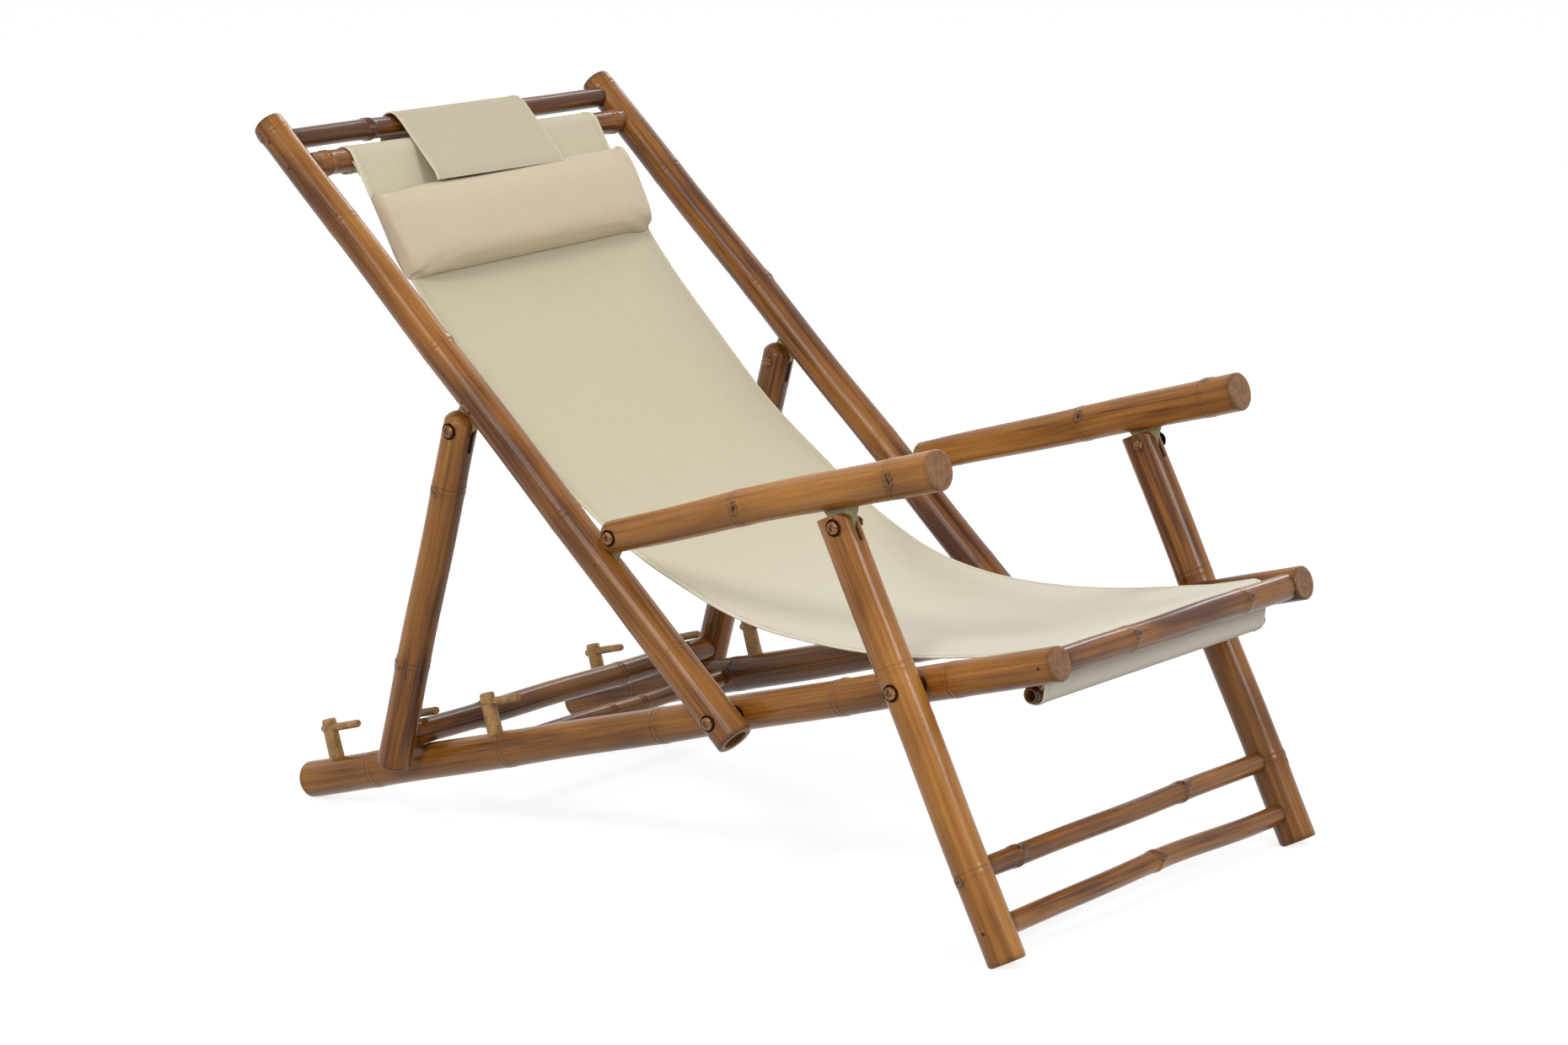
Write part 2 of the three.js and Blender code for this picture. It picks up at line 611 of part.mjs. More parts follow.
copedBar(
  "front_bar",
  onRail(FRONT_BAR_STATION, 0),
  RAIL_PLANE,
  FRONT_BAR_RADIUS,
  FRONT_BAR_NODE_SHARES,
  rail,
);
copedBar("front_inner_bar", onRail(INNER_BAR_STATION, 0), RAIL_PLANE, INNER_BAR_RADIUS, [], rail);
copedBar(
  "rear_stretcher",
  onRail(REAR_STRETCHER_STATION, 0),
  RAIL_PLANE,
  REAR_STRETCHER_RADIUS,
  REAR_STRETCHER_NODE_SHARES,
  rail,
);
copedBar(
  "head_bar",
  onPole(HEAD_BAR_STATION, 0),
  POLE_PLANE,
  HEAD_BAR_RADIUS,
  HEAD_BAR_NODE_SHARES,
  pole,
);
copedBar(
  "sling_bar",
  onPole(SLING_BAR_STATION, 0),
  POLE_PLANE,
  SLING_BAR_RADIUS,
  SLING_BAR_NODE_SHARES,
  pole,
);
copedBar(
  "leg_stretcher_upper",
  plus(LEG_PIVOT, LEG, UPPER_STRETCHER_STATION),
  POLE_PLANE,
  LEG_STRETCHER_RADIUS,
  UPPER_STRETCHER_NODE_SHARES,
  leg,
);
copedBar(
  "leg_stretcher_lower",
  plus(LEG_PIVOT, LEG, LOWER_STRETCHER_STATION),
  POLE_PLANE,
  LEG_STRETCHER_RADIUS,
  LOWER_STRETCHER_NODE_SHARES,
  leg,
);
copedBar("prop_bar", PROP_BAR, POLE_PLANE, PROP_BAR_RADIUS, PROP_BAR_NODE_SHARES, prop);

// Rod in the sling's front hem
const FRONT_ROD = onRail(FRONT_ROD_STATION, -FRONT_ROD_OFFSET);
const bothBored = { startBore: true, endBore: true };
add(
  "hem_rod_front",
  crossBar(FRONT_ROD, FRONT_ROD_HALF_LENGTH, SLING_ROD_RADIUS, [], BAR_SIDES, bothBored),
  BAMBOO,
);

// The angle of the common outer tangent's normal between two round bars, on the side given.
function tangentAngle(from, to, fromRadius, toRadius, side) {
  const lean = (Math.acos((fromRadius - toRadius) / distance(from, to)) * HALF_TURN) / Math.PI;
  return angleOf(toward(from, to)) + side * lean;
}

// Points of an arc about a bar.
function wrap(centre, radius, startAngle, endAngle) {
  const points = [];
  for (let i = 0; i <= ARC_STEPS; i++) {
    points.push(plus(centre, unit(startAngle + ((endAngle - startAngle) * i) / ARC_STEPS), radius));
  }
  return points;
}

// The sling's line in the side view: from its hem on the sling bar down the back, over the seat
// and the inner front bar to its hem on the rod.
const HALF_CLOTH = SLING_THICKNESS / 2;
const rodWrap = SLING_ROD_RADIUS + GAP + HALF_CLOTH;
const slingBar = onPole(SLING_BAR_STATION, 0);
const slingBarWrap = SLING_BAR_RADIUS + GAP + HALF_CLOTH;
const innerBar = onRail(INNER_BAR_STATION, 0);
const innerBarWrap = INNER_BAR_RADIUS + GAP + HALF_CLOTH;
const firstSag = SLING_BACK_SAG[0];
const lastSag = SLING_BACK_SAG[SLING_BACK_SAG.length - 1];
const backTangent = tangentAngle(slingBar, firstSag, slingBarWrap, 0, 1);
const seatTangent = tangentAngle(innerBar, lastSag, innerBarWrap, 0, -1);
const frontTangent = tangentAngle(innerBar, FRONT_ROD, innerBarWrap, rodWrap, 1);
const smooth = new THREE.CatmullRomCurve3(SLING_BACK_SAG.map((p) => inSpace(p, 0)));
const sagPoints = smooth.getPoints(SLING_BACK_SAG.length * 2).map((p) => [p.x, p.z]);
const turnDown = (angle, below) => angle - FULL_TURN * Math.ceil((angle - below) / FULL_TURN);
const innerBarStart = turnDown(seatTangent, FULL_TURN);
const innerBarEnd = turnDown(frontTangent, innerBarStart);

const slingLine = [
  plus(slingBar, unit(backTangent), slingBarWrap),
  ...sagPoints,
  ...wrap(innerBar, innerBarWrap, innerBarStart, innerBarEnd),
  plus(FRONT_ROD, unit(frontTangent), rodWrap),
];

// A strip of cloth that follows a line in the side view.
function strip(line, thickness, halfWidth) {
  const rings = line.map((p, i) => {
    const before = line[Math.max(i - 1, 0)];
    const after = line[Math.min(i + 1, line.length - 1)];
    const side = rear(toward(before, after));
    const upper = plus(p, side, thickness / 2);
    const lower = plus(p, side, -thickness / 2);
    return [
      inSpace(upper, -halfWidth),
      inSpace(upper, halfWidth),
      inSpace(lower, halfWidth),
      inSpace(lower, -halfWidth),
    ];
  });
  return solid(loft(rings));
}

// A closed surface through rings with equal numbers of corners, capped at both ends.
function loft(rings) {
  const positions = [];
  const face = (a, b, c) => positions.push(...a.toArray(), ...b.toArray(), ...c.toArray());
  for (let i = 1; i < rings.length; i++) {
    const low = rings[i - 1];
    const high = rings[i];
    low.forEach((corner, j) => {
      const next = (j + 1) % low.length;
      face(corner, low[next], high[next]);
      face(corner, high[next], high[j]);
    });
  }
  const first = rings[0];
  const last = rings[rings.length - 1];
  for (let j = 1; j < first.length - 1; j++) {
    face(first[0], first[j + 1], first[j]);
    face(last[0], last[j], last[j + 1]);
  }
  const geometry = new THREE.BufferGeometry();
  geometry.setAttribute("position", new THREE.Float32BufferAttribute(positions, 3));
  return geometry;
}

// The hem pocket round a bar.
function hemPocket(at, radius) {
  const half = SLING_HALF_WIDTH;
  const outside = pin(at, -half, half, radius + GAP + SLING_THICKNESS, BAR_SIDES);
  return outside.subtract(pin(at, -half - GAP, half + GAP, radius + GAP, BAR_SIDES));
}

const slingBody = strip(slingLine, SLING_THICKNESS, SLING_HALF_WIDTH)
  .add(hemPocket(slingBar, SLING_BAR_RADIUS))
  .add(hemPocket(FRONT_ROD, SLING_ROD_RADIUS))
  .subtract(crossBar(slingBar, POLE_PLANE, SLING_BAR_RADIUS, [], BAR_SIDES, {}, GAP))
  .subtract(crossBar(FRONT_ROD, FRONT_ROD_HALF_LENGTH, SLING_ROD_RADIUS, [], BAR_SIDES, {}, GAP));
add("sling", slingBody, CANVAS);

const PILLOW_UP = unit(PILLOW_ANGLE);

// Pillow: a crowned cushion that narrows toward its ends
function pillowRings() {
  const rings = [];
  const shares = PILLOW_RING_SHARES;
  const stations = [...shares].reverse().map((t) => -t);
  for (const t of [...stations, ...shares.slice(1)]) {
    const draw = Math.sqrt(1 - Math.pow(Math.abs(t), PILLOW_CROWN_POWER));
    const lengthShare = PILLOW_END_LENGTH_SHARE + (1 - PILLOW_END_LENGTH_SHARE) * draw;
    const depthShare = PILLOW_END_DEPTH_SHARE + (1 - PILLOW_END_DEPTH_SHARE) * draw;
    const length = (PILLOW_LENGTH / 2) * lengthShare;
    const depth = (PILLOW_THICKNESS / 2) * depthShare;
    const ring = [];
    for (let j = 0; j < PILLOW_SIDES; j++) {
      const turn = (j * Math.PI * 2) / PILLOW_SIDES;
      const square = Math.pow(Math.abs(Math.cos(turn)), PILLOW_CORNER_POWER);
      const along = Math.sign(Math.cos(turn)) * square * length;
      const out = Math.sin(turn) * depth;
      const at = plus(plus(PILLOW_CENTRE, PILLOW_UP, along), rear(PILLOW_UP), -out);
      ring.push(inSpace(at, t * PILLOW_HALF_WIDTH));
    }
    rings.push(ring);
  }
  return rings;
}

const clothCut = strip(slingLine, SLING_THICKNESS + 2 * GAP, SLING_HALF_WIDTH + GAP);
const pillowBody = solid(loft(pillowRings())).subtract(clothCut);
const pillowPieces = pillowBody.decompose().sort((a, b) => b.volume() - a.volume());
add("pillow", pillowPieces[0], CANVAS);

// Strap from the pillow over the head bar and down behind it
const headBar = onPole(HEAD_BAR_STATION, 0);
const strapWrap = HEAD_BAR_RADIUS + NODE_RISE + 2 * GAP + STRAP_THICKNESS / 2;
const strapFoot = plus(PILLOW_CENTRE, PILLOW_UP, PILLOW_LENGTH / 2 + STRAP_THICKNESS);
const strapStart = plus(strapFoot, rear(PILLOW_UP), -STRAP_RISE);
const strapTangent = tangentAngle(headBar, strapStart, strapWrap, 0, 1);
const strapLine = [
  strapStart,
  ...wrap(headBar, strapWrap, turnDown(strapTangent, FULL_TURN), STRAP_LEAVES),
  plus(plus(headBar, unit(STRAP_LEAVES), strapWrap), [0, -1], STRAP_HANG),
];
const strapBody = strip(strapLine, STRAP_THICKNESS, STRAP_HALF_WIDTH);
add("pillow_strap", strapBody, CANVAS);

export default group;
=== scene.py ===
"""Looks of a bamboo folding recliner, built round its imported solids.

Metres, +Z up, +X to the foot end, origin on the floor under the middle of the chair.
Sizes are named in millimetres, and each mesh is turned to metres as it is made.
"""

from __future__ import annotations

import logging
import math
from dataclasses import dataclass, field
from enum import Enum

import bpy
import numpy as np
from bpy.types import Material, Node, NodeSocket, NodeTree, Object
from mathutils import Matrix, Vector, noise


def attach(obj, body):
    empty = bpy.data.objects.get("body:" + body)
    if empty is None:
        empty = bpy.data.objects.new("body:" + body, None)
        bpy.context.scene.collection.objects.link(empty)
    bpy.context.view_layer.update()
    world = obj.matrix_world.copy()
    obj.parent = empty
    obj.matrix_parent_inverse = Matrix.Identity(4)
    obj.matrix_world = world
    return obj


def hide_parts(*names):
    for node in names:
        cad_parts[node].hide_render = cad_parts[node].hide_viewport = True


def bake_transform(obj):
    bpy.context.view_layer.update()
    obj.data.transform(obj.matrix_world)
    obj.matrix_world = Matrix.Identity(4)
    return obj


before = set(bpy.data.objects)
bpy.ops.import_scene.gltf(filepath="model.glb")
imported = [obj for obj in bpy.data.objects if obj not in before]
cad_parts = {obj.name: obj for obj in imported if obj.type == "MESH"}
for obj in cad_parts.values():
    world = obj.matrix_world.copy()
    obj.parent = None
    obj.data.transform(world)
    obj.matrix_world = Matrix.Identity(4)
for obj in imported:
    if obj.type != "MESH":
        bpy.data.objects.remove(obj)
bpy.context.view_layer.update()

LOG = logging.getLogger("recliner")
MM = 0.001
TURN = 2 * math.pi
WHOLE_KINDS = ("GeometryNode", "FunctionNode", "NodeGroup")

Point = tuple[float, float]
Triple = tuple[float, float, float]
Colour = tuple[float, float, float, float]
Faces = list[tuple[int, ...]]
Array = np.ndarray


# --- side view geometry, millimetres ---


def unit(angle: float) -> Point:
    """The direction at an angle in degrees."""
    return math.cos(math.radians(angle)), math.sin(math.radians(angle))


def plus(p: Point, d: Point, reach: float) -> Point:
    """The point a reach along d from p."""
    return p[0] + d[0] * reach, p[1] + d[1] * reach


def rear(d: Point) -> Point:
    """The direction a quarter turn from d."""
    return -d[1], d[0]


def distance(p: Point, q: Point) -> float:
    """The distance between two points."""
    return math.hypot(q[0] - p[0], q[1] - p[1])


def toward(p: Point, q: Point) -> Point:
    """The direction from p to q."""
    reach = distance(p, q)
    return (q[0] - p[0]) / reach, (q[1] - p[1]) / reach


def angle_of(d: Point) -> float:
    """The angle of a direction in degrees."""
    return math.degrees(math.atan2(d[1], d[0]))


def in_space(p: Point, y: float) -> Vector:
    """A side view point on a plane across the chair."""
    return Vector((p[0], y, p[1]))


@dataclass(frozen=True)
class Side:
    """One side of the chair."""

    name: str
    sign: int

    def pick(self, left: object, right: object) -> object:
        """The value that belongs to this side."""
        return left if self.sign > 0 else right


SIDES = (Side("left", 1), Side("right", -1))


@dataclass(frozen=True)
class Layout:
    """The lines and pivots that the members share, in millimetres."""

    rail_rear: Point = (-550.0, 19.0)
    rail_front: Point = (557.0, 330.3)
    rail_radii: Point = (22.5, 20.0)
    rail_plane: float = 249.5
    pole_plane: float = 300.0
    back_pivot: Point = (132.7, 212.0)
    back_angle: float = 137.7
    pole_top: float = 922.0
    pole_tail: float = 30.0
    pole_radii: Point = (22.5, 19.0)
    leg_pivot: Point = (385.5, 285.5)
    leg_foot: Point = (529.4, 0.0)
    leg_foot_trim: float = 4.4
    leg_top: float = 215.0
    leg_radius: float = 22.0
    arm_angle: float = 16.2
    arm_front: float = 465.0
    arm_pivot_at: Point = (236.8, -44.0)
    leg_link_at: Point = (322.5, -37.6)
    prop_pivot_at: Point = (477.1, 46.0)
    front_bar_station: float = 1134.0
    inner_bar_station: float = 1097.0
    hem_rod_at: Point = (1089.0, -31.1)
    head_bar_station: float = 893.5
    sling_bar_station: float = 851.4
    upper_station: float = 211.0
    lower_station: float = 277.0
    back_pivot_station: float = 709.0
    leg_pivot_station: float = 971.0
    pillow: Point = (-411.0, 713.0)
    pillow_angle: float = 122.0
    prop_bar_station: float = 211.0
    prop_bar_height: float = 37.45
    prop_length: float = 437.0
    prop_radius: float = 20.0

    @property
    def rail(self) -> Point:
        """Direction of the rails."""
        return toward(self.rail_rear, self.rail_front)

    @property
    def pole(self) -> Point:
        """Direction of the backrest poles."""
        return unit(self.back_angle)

    @property
    def arm(self) -> Point:
        """Direction of the armrests."""
        return unit(self.arm_angle)

    @property
    def leg(self) -> Point:
        """Direction of the front legs, downwards."""
        return toward(self.leg_pivot, self.leg_foot)

    def on_rail(self, station: float, height: float = 0.0) -> Point:
        """A point by its station along the rail and its height above the rail's axis."""
        return plus(plus(self.rail_rear, self.rail, station), rear(self.rail), height)

    def on_pole(self, station: float, offset: float = 0.0) -> Point:
        """A point by its station up the pole and its offset behind the pole's axis."""
        return plus(plus(self.back_pivot, self.pole, station), rear(self.pole), offset)

    def on_leg(self, station: float) -> Point:
        """A point by its station down the leg from the leg pivot."""
        return plus(self.leg_pivot, self.leg, station)

    @property
    def arm_pivot(self) -> Point:
        """Where the armrest's rear end is bolted to the pole's plate."""
        return self.on_pole(*self.arm_pivot_at)

    @property
    def leg_link(self) -> Point:
        """Where the leg's head is bolted to the armrest's plate."""
        along, off = self.leg_link_at
        return plus(plus(self.arm_pivot, self.arm, along), rear(self.arm), off)

    @property
    def prop_pivot(self) -> Point:
        """Where the prop's head is bolted to the pole's plate."""
        return self.on_pole(*self.prop_pivot_at)

    @property
    def prop_bar(self) -> Point:
        """Centre of the prop's bar, resting in the pegs."""
        return self.on_rail(self.prop_bar_station, self.prop_bar_height)

    @property
    def prop(self) -> Point:
        """Direction of the prop legs, downwards."""
        return toward(self.prop_pivot, self.prop_bar)

    def pole_radius(self, station: float) -> float:
        """The pole's radius at a station above its pivot."""
        share = (station + self.pole_tail) / (self.pole_top + self.pole_tail)
        return self.pole_radii[0] + (self.pole_radii[1] - self.pole_radii[0]) * share

    def rail_radius(self, station: float) -> float:
        """The rail's radius at a station from its rear end."""
        share = station / distance(self.rail_rear, self.rail_front)
        return self.rail_radii[0] + (self.rail_radii[1] - self.rail_radii[0]) * share


PLAN = Layout()
BOLT_HEAD_RADIUS = 7.5
PLATE_THICKNESS = 5.0
KERF_WIDTH = 6.4
KERF_DEPTH = 23.0
HALF_CLOTH_WIDTH = 224.0
HEAD_BAR_RADIUS = 12.5
SLING_BAR_RADIUS = 14.5
INNER_BAR_RADIUS = 14.0
HEM_ROD_RADIUS = 10.0
POLE_REACH = 22.7
LEG_REACH = 22.3
CLEARANCE = 0.3


# --- small tools for meshes, objects and nodes ---


def colour(value: str | float) -> Colour:
    """A linear colour.

    Args:
        value: an sRGB code of a hash and six hex digits, or the level of a neutral.

    Returns:
        Red, green, blue and an alpha of one.
    """
    if not isinstance(value, str):
        return value, value, value, 1.0
    parts = [int(value[i : i + 2], 16) / 255 for i in (1, 3, 5)]
    red, green, blue = (c / 12.92 if c <= 0.04045 else ((c + 0.055) / 1.055) ** 2.4 for c in parts)
    return red, green, blue, 1.0


def put(tree: NodeTree, kind: str, inputs: dict | list | tuple = (), **settings: object) -> Node:
    """Adds a node with its settings and links.

    Args:
        tree: the shader or geometry tree.
        kind: the node's type name, for a shader node without its first part.
        inputs: values, colour codes, sockets or nodes, by input name or in the inputs' order.
        settings: properties of the node, and stops for a colour ramp.

    Returns:
        The new node.
    """
    made = tree.nodes.new(kind if kind.startswith(WHOLE_KINDS) else f"ShaderNode{kind}")
    for name, value in settings.items():
        if name == "stops":
            ramp = made.color_ramp
            while len(ramp.elements) < len(value):
                ramp.elements.new(1.0)
            for element, (at, tint) in zip(ramp.elements, value):
                element.position = at
                element.color = colour(tint)
        else:
            setattr(made, name, value)
    for key, value in inputs.items() if isinstance(inputs, dict) else enumerate(inputs):
        socket = made.inputs[key]
        if isinstance(value, Node):
            value = value.outputs[0]
        if isinstance(value, NodeSocket):
            tree.links.new(value, socket)
        elif isinstance(value, str) and value.startswith("#"):
            socket.default_value = colour(value)
        else:
            socket.default_value = value
    return made


def cleared(owner: Material | bpy.types.World) -> NodeTree:
    """Gives a material or world an empty node tree.

    Args:
        owner: what the tree belongs to.

    Returns:
        The tree.
    """
    owner.use_nodes = True
    owner.node_tree.nodes.clear()
    return owner.node_tree


def mesh_object(
    name: str, points: Array, faces: Faces, materials: list[Material],
    indices: list[int] | None = None
) -> Object:
    """A linked object from points in millimetres.

    Args:
        name: the piece's name.
        points: one row for each vertex.
        faces: corner numbers of each face.
        materials: the object's material slots.
        indices: the slot of each face, where there are several.

    Returns:
        The object, with its place in its mesh.
    """
    mesh = bpy.data.meshes.new(name)
    mesh.from_pydata((points * MM).tolist(), [], faces)
    for material in materials:
        mesh.materials.append(material)
    if indices is not None:
        mesh.polygons.foreach_set("material_index", indices)
    mesh.update()
    made = bpy.data.objects.new(name, mesh)
    bpy.context.scene.collection.objects.link(made)
    return made


def quads(*corners: Array) -> Faces:
    """Faces from one array of point numbers for each of their corners."""
    return list(zip(*(numbers.ravel().tolist() for numbers in corners)))


def rounds(count: int, sides: int, first: int, ends: Point) -> Faces:
    """Faces of closed rings of points, with a fan to a point at both ends.

    Args:
        count: number of rings.
        sides: points of each ring.
        first: number of the first ring's first point.
        ends: numbers of the points that close it.

    Returns:
        The fan before the first ring, the faces between the rings, and the last fan.
    """
    ring = np.arange(count * sides).reshape(count, sides) + first
    after = np.roll(ring, -1, axis=1)
    start, end = (np.full(sides, number) for number in ends)
    between = quads(ring[:-1], after[:-1], after[1:], ring[1:])
    return quads(start, after[0], ring[0]) + between + quads(ring[-1], after[-1], end)


def write(piece: Object, name: str, values: Array) -> None:
    """Stores an attribute on a piece's points.

    Args:
        piece: the object.
        name: the attribute's name.
        values: a number for each point, or a row of three.
    """
    kind, part = ("FLOAT_VECTOR", "vector") if values.ndim > 1 else ("FLOAT", "value")
    layer = piece.data.attributes.new(name, kind, "POINT")
    layer.data.foreach_set(part, values.astype(np.float32).ravel())


def places_of(piece: Object) -> Array:
    """The places of a piece's points in metres.

    Args:
        piece: the object.

    Returns:
        One row for each point.
    """
    found = np.zeros(len(piece.data.vertices) * 3)
    piece.data.vertices.foreach_get("co", found)
    return found.reshape(-1, 3)


def smooth(piece: Object, angle: float = 32.0) -> None:
    """Smooth shading with the edges sharper than an angle in degrees kept."""
    piece.data.shade_smooth()
    piece.data.set_sharp_from_angle(angle=math.radians(angle))


def apply_modifiers(piece: Object) -> None:
    """Turns a piece's modifiers into its plain mesh.

    Args:
        piece: the object.
    """
    graph = bpy.context.evaluated_depsgraph_get()
    graph.update()
    made = bpy.data.meshes.new_from_object(
        piece.evaluated_get(graph), preserve_all_data_layers=True, depsgraph=graph
    )
    old = piece.data
    piece.modifiers.clear()
    piece.data = made
    made.name = piece.name
    if old.users == 0:
        bpy.data.meshes.remove(old)


def remove(*pieces: Object) -> None:
    """Deletes helper objects."""
    for piece in pieces:
        bpy.data.objects.remove(piece, do_unlink=True)


def hand_over(piece: Object, body: str, slot: str, *nodes: str) -> None:
    """Gives a finished piece its body and hides the nodes it stands for.

    Args:
        piece: the finished object.
        body: the CAD body that it rides on.
        slot: not used.
        nodes: CAD nodes that it replaces.
    """
    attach(piece, body)
    if nodes:
        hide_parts(*nodes)
    LOG.info("%s rides on %s: %d faces", piece.name, body, len(piece.data.polygons))


def slab(
    name: str, outline: list[Point], y: float, thickness: float, materials: list[Material],
    slot: int = 0
) -> Object:
    """A flat plate from its side view outline.

    Args:
        name: the object's name.
        outline: corners in order, anticlockwise as seen from the right side.
        y: the plane of its middle.
        thickness: its thickness across the chair.
        materials: its material slots.
        slot: the slot of all its faces.

    Returns:
        The plate.
    """
    count = len(outline)
    near = [in_space(p, y - thickness / 2) for p in outline]
    far = [in_space(p, y + thickness / 2) for p in outline]
    points = np.array(near + far)
    area = sum(
        outline[i - 1][0] * outline[i][1] - outline[i][0] * outline[i - 1][1] for i in range(count)
    )
    front = list(range(count))
    back = [count + i for i in reversed(range(count))]
    sides = [((i + 1) % count, i, count + i, count + (i + 1) % count) for i in range(count)]
    faces = [tuple(front), tuple(back), *sides]
    if area < 0:
        faces = [tuple(reversed(face)) for face in faces]
    return mesh_object(name, points, faces, materials, [slot] * len(faces))


# --- finishes ---


class Finish:
    """A finish whose nodes all lead to one principled shader."""

    name: str

    def material(self) -> Material:
        """Builds the finish.

        Returns:
            The material.
        """
        made = bpy.data.materials.new(self.name)
        tree = cleared(made)
        shader = put(tree, "BsdfPrincipled", self.sockets(tree))
        put(tree, "OutputMaterial", {"Surface": shader})
        return made

    def sockets(self, tree: NodeTree) -> dict[str, object]:
        """Adds the finish's nodes to its tree and gives the shader's inputs by name."""
        raise NotImplementedError


@dataclass(frozen=True)
class VarnishedBamboo(Finish):
    """Bamboo culm skin, stained and brush varnished.

    The stain lies in the fine fibre lines along the culm, collects at the nodes and round the
    bud scars, and the gloss varnish over it mirrors the lights in long thin lines.
    """

    name: str = "varnished_bamboo_culm"
    light: str = "#BD8039"
    middle: str = "#8F591F"
    dark: str = "#532B10"
    fibre_mm: float = 1.1
    band_mm: float = 6.0
    roughness: float = 0.42
    varnish: float = 0.45
    varnish_roughness: float = 0.18

    def sockets(self, tree: NodeTree) -> dict[str, object]:
        """Adds the finish's nodes and gives the shader's inputs.

        Args:
            tree: the material's tree.

        Returns:
            The shader's inputs by name.
        """
        at, joint, wear = (
            put(tree, "Attribute", attribute_name=name).outputs["Vector"]
            for name in ("culm", "joint", "wear")
        )
        near = put(tree, "SeparateXYZ", [joint])
        worn = put(tree, "SeparateXYZ", [wear])

        fibres = self.lines(tree, at, 1 / self.fibre_mm, 0.012, 4.0)
        bands = self.lines(tree, at, 1 / self.band_mm, 0.03, 3.0)
        clouds = self.lines(tree, at, 0.018, 0.35, 2.0)
        pores = self.lines(tree, at, 0.9, 0.16, 1.0)

        mixed = put(tree, "Math", [fibres, 0.55, -0.275], operation="MULTIPLY_ADD")
        for layer, share in ((bands, 0.7), (clouds, 0.75)):
            mixed = put(tree, "Math", [layer, share, mixed], operation="MULTIPLY_ADD")
        mixed = put(tree, "Math", [mixed, worn.outputs["X"]], operation="ADD")
        shade = put(
            tree, "ValToRGB", [mixed],
            stops=[(0.42, self.light), (0.78, self.middle), (1.0, self.dark)]
        )
        specks = put(tree, "ValToRGB", [pores], stops=[(0.66, 1.0), (0.74, 0.62)])
        rings = self.ring_shade(tree, near.outputs["X"], bands)
        eye = self.bud_shade(tree, near, self.lines(tree, at, 0.3, 1.0, 1.0))
        ends = put(
            tree, "MapRange", [worn.outputs["Y"], 0.0, 9.0, 0.58, 1.0],
            interpolation_type="SMOOTHSTEP"
        )
        for share, by in ((1.0, specks), (worn.outputs["Z"], rings), (1.0, eye), (1.0, ends)):
            shade = put(
                tree, "MixRGB", {"Fac": share, "Color1": shade, "Color2": by},
                blend_type="MULTIPLY"
            )
        relief = put(tree, "Math", [fibres, 0.12, 0.0], operation="MULTIPLY_ADD")
        relief = put(tree, "Math", [eye, 1.2, relief], operation="MULTIPLY_ADD")
        bump = put(tree, "Bump", {"Strength": 0.35, "Distance": 0.0004, "Height": relief})
        ripple = self.lines(tree, at, 0.04, 0.3, 0.0)
        varnish_bump = put(tree, "Bump", {"Strength": 0.2, "Distance": 0.0005, "Height": ripple})
        return {
            "Base Color": shade, "Roughness": self.roughness, "Specular IOR Level": 0.12,
            "Coat Weight": self.varnish, "Coat Roughness": self.varnish_roughness, "Coat IOR": 1.5,
            "Normal": bump, "Coat Normal": varnish_bump
        }

    @staticmethod
    def lines(
        tree: NodeTree, at: NodeSocket, per_mm: float, stretch: float, detail: float
    ) -> Node:
        """Noise drawn out along the culm.

        Args:
            tree: the material's tree.
            at: the culm's own coordinates in millimetres.
            per_mm: how many features stand side by side in a millimetre.
            stretch: share of that along the culm.
            detail: octaves of finer noise.

        Returns:
            The noise node.
        """
        scaled = put(
            tree, "VectorMath", [at, (per_mm, per_mm, per_mm * stretch)], operation="MULTIPLY"
        )
        return put(tree, "TexNoise", {"Vector": scaled, "Scale": 1.0, "Detail": detail})

    @staticmethod
    def ring_shade(tree: NodeTree, along: NodeSocket, bands: Node) -> Node:
        """The dark sheath line at each node and the deeper stain above it.

        Args:
            tree: the material's tree.
            along: millimetres from the nearest node.
            bands: noise that keeps the line from being even.

        Returns:
            A colour ramp to multiply the stain with.
        """
        uneven = put(tree, "Math", [bands, 2.0, -1.0], operation="MULTIPLY_ADD")
        shifted = put(tree, "Math", [along, uneven], operation="ADD")
        share = put(tree, "MapRange", [shifted, -30.0, 30.0, 0.0, 1.0])
        return put(
            tree, "ValToRGB", [share],
            stops=[
                (0.25, 1.0), (0.43, 0.95), (0.455, 0.62), (0.475, 0.66), (0.495, 1.0),
                (0.525, 0.96), (0.55, 0.78), (0.62, 0.93), (0.95, 1.0)
            ]
        )

    @staticmethod
    def bud_shade(tree: NodeTree, near: Node, knots: Node) -> Node:
        """The ringed eye of a bud scar just above its node.

        Args:
            tree: the material's tree.
            near: separated distance to the node, and sine and cosine of the turn from the bud.
            knots: noise that keeps the rings from being round.

        Returns:
            A colour ramp to multiply the stain with.
        """
        turned = put(tree, "Math", [near.outputs["Y"], near.outputs["Z"]], operation="ARCTAN2")
        across = put(tree, "Math", [turned, 2.5], operation="MULTIPLY")
        along = put(tree, "Math", [near.outputs["X"], 0.15, -0.75], operation="MULTIPLY_ADD")
        plane = put(tree, "CombineXYZ", [across, along])
        reach = put(tree, "VectorMath", [plane], operation="LENGTH")
        uneven = put(tree, "Math", [knots, 0.5, -0.25], operation="MULTIPLY_ADD")
        share = put(tree, "Math", [reach.outputs["Value"], 0.5, uneven], operation="MULTIPLY_ADD")
        return put(
            tree, "ValToRGB", [share],
            stops=[
                (0.1, 0.08), (0.16, 0.2), (0.22, 0.9), (0.34, 0.85), (0.41, 0.2), (0.46, 0.42),
                (0.52, 1.0)
            ]
        )


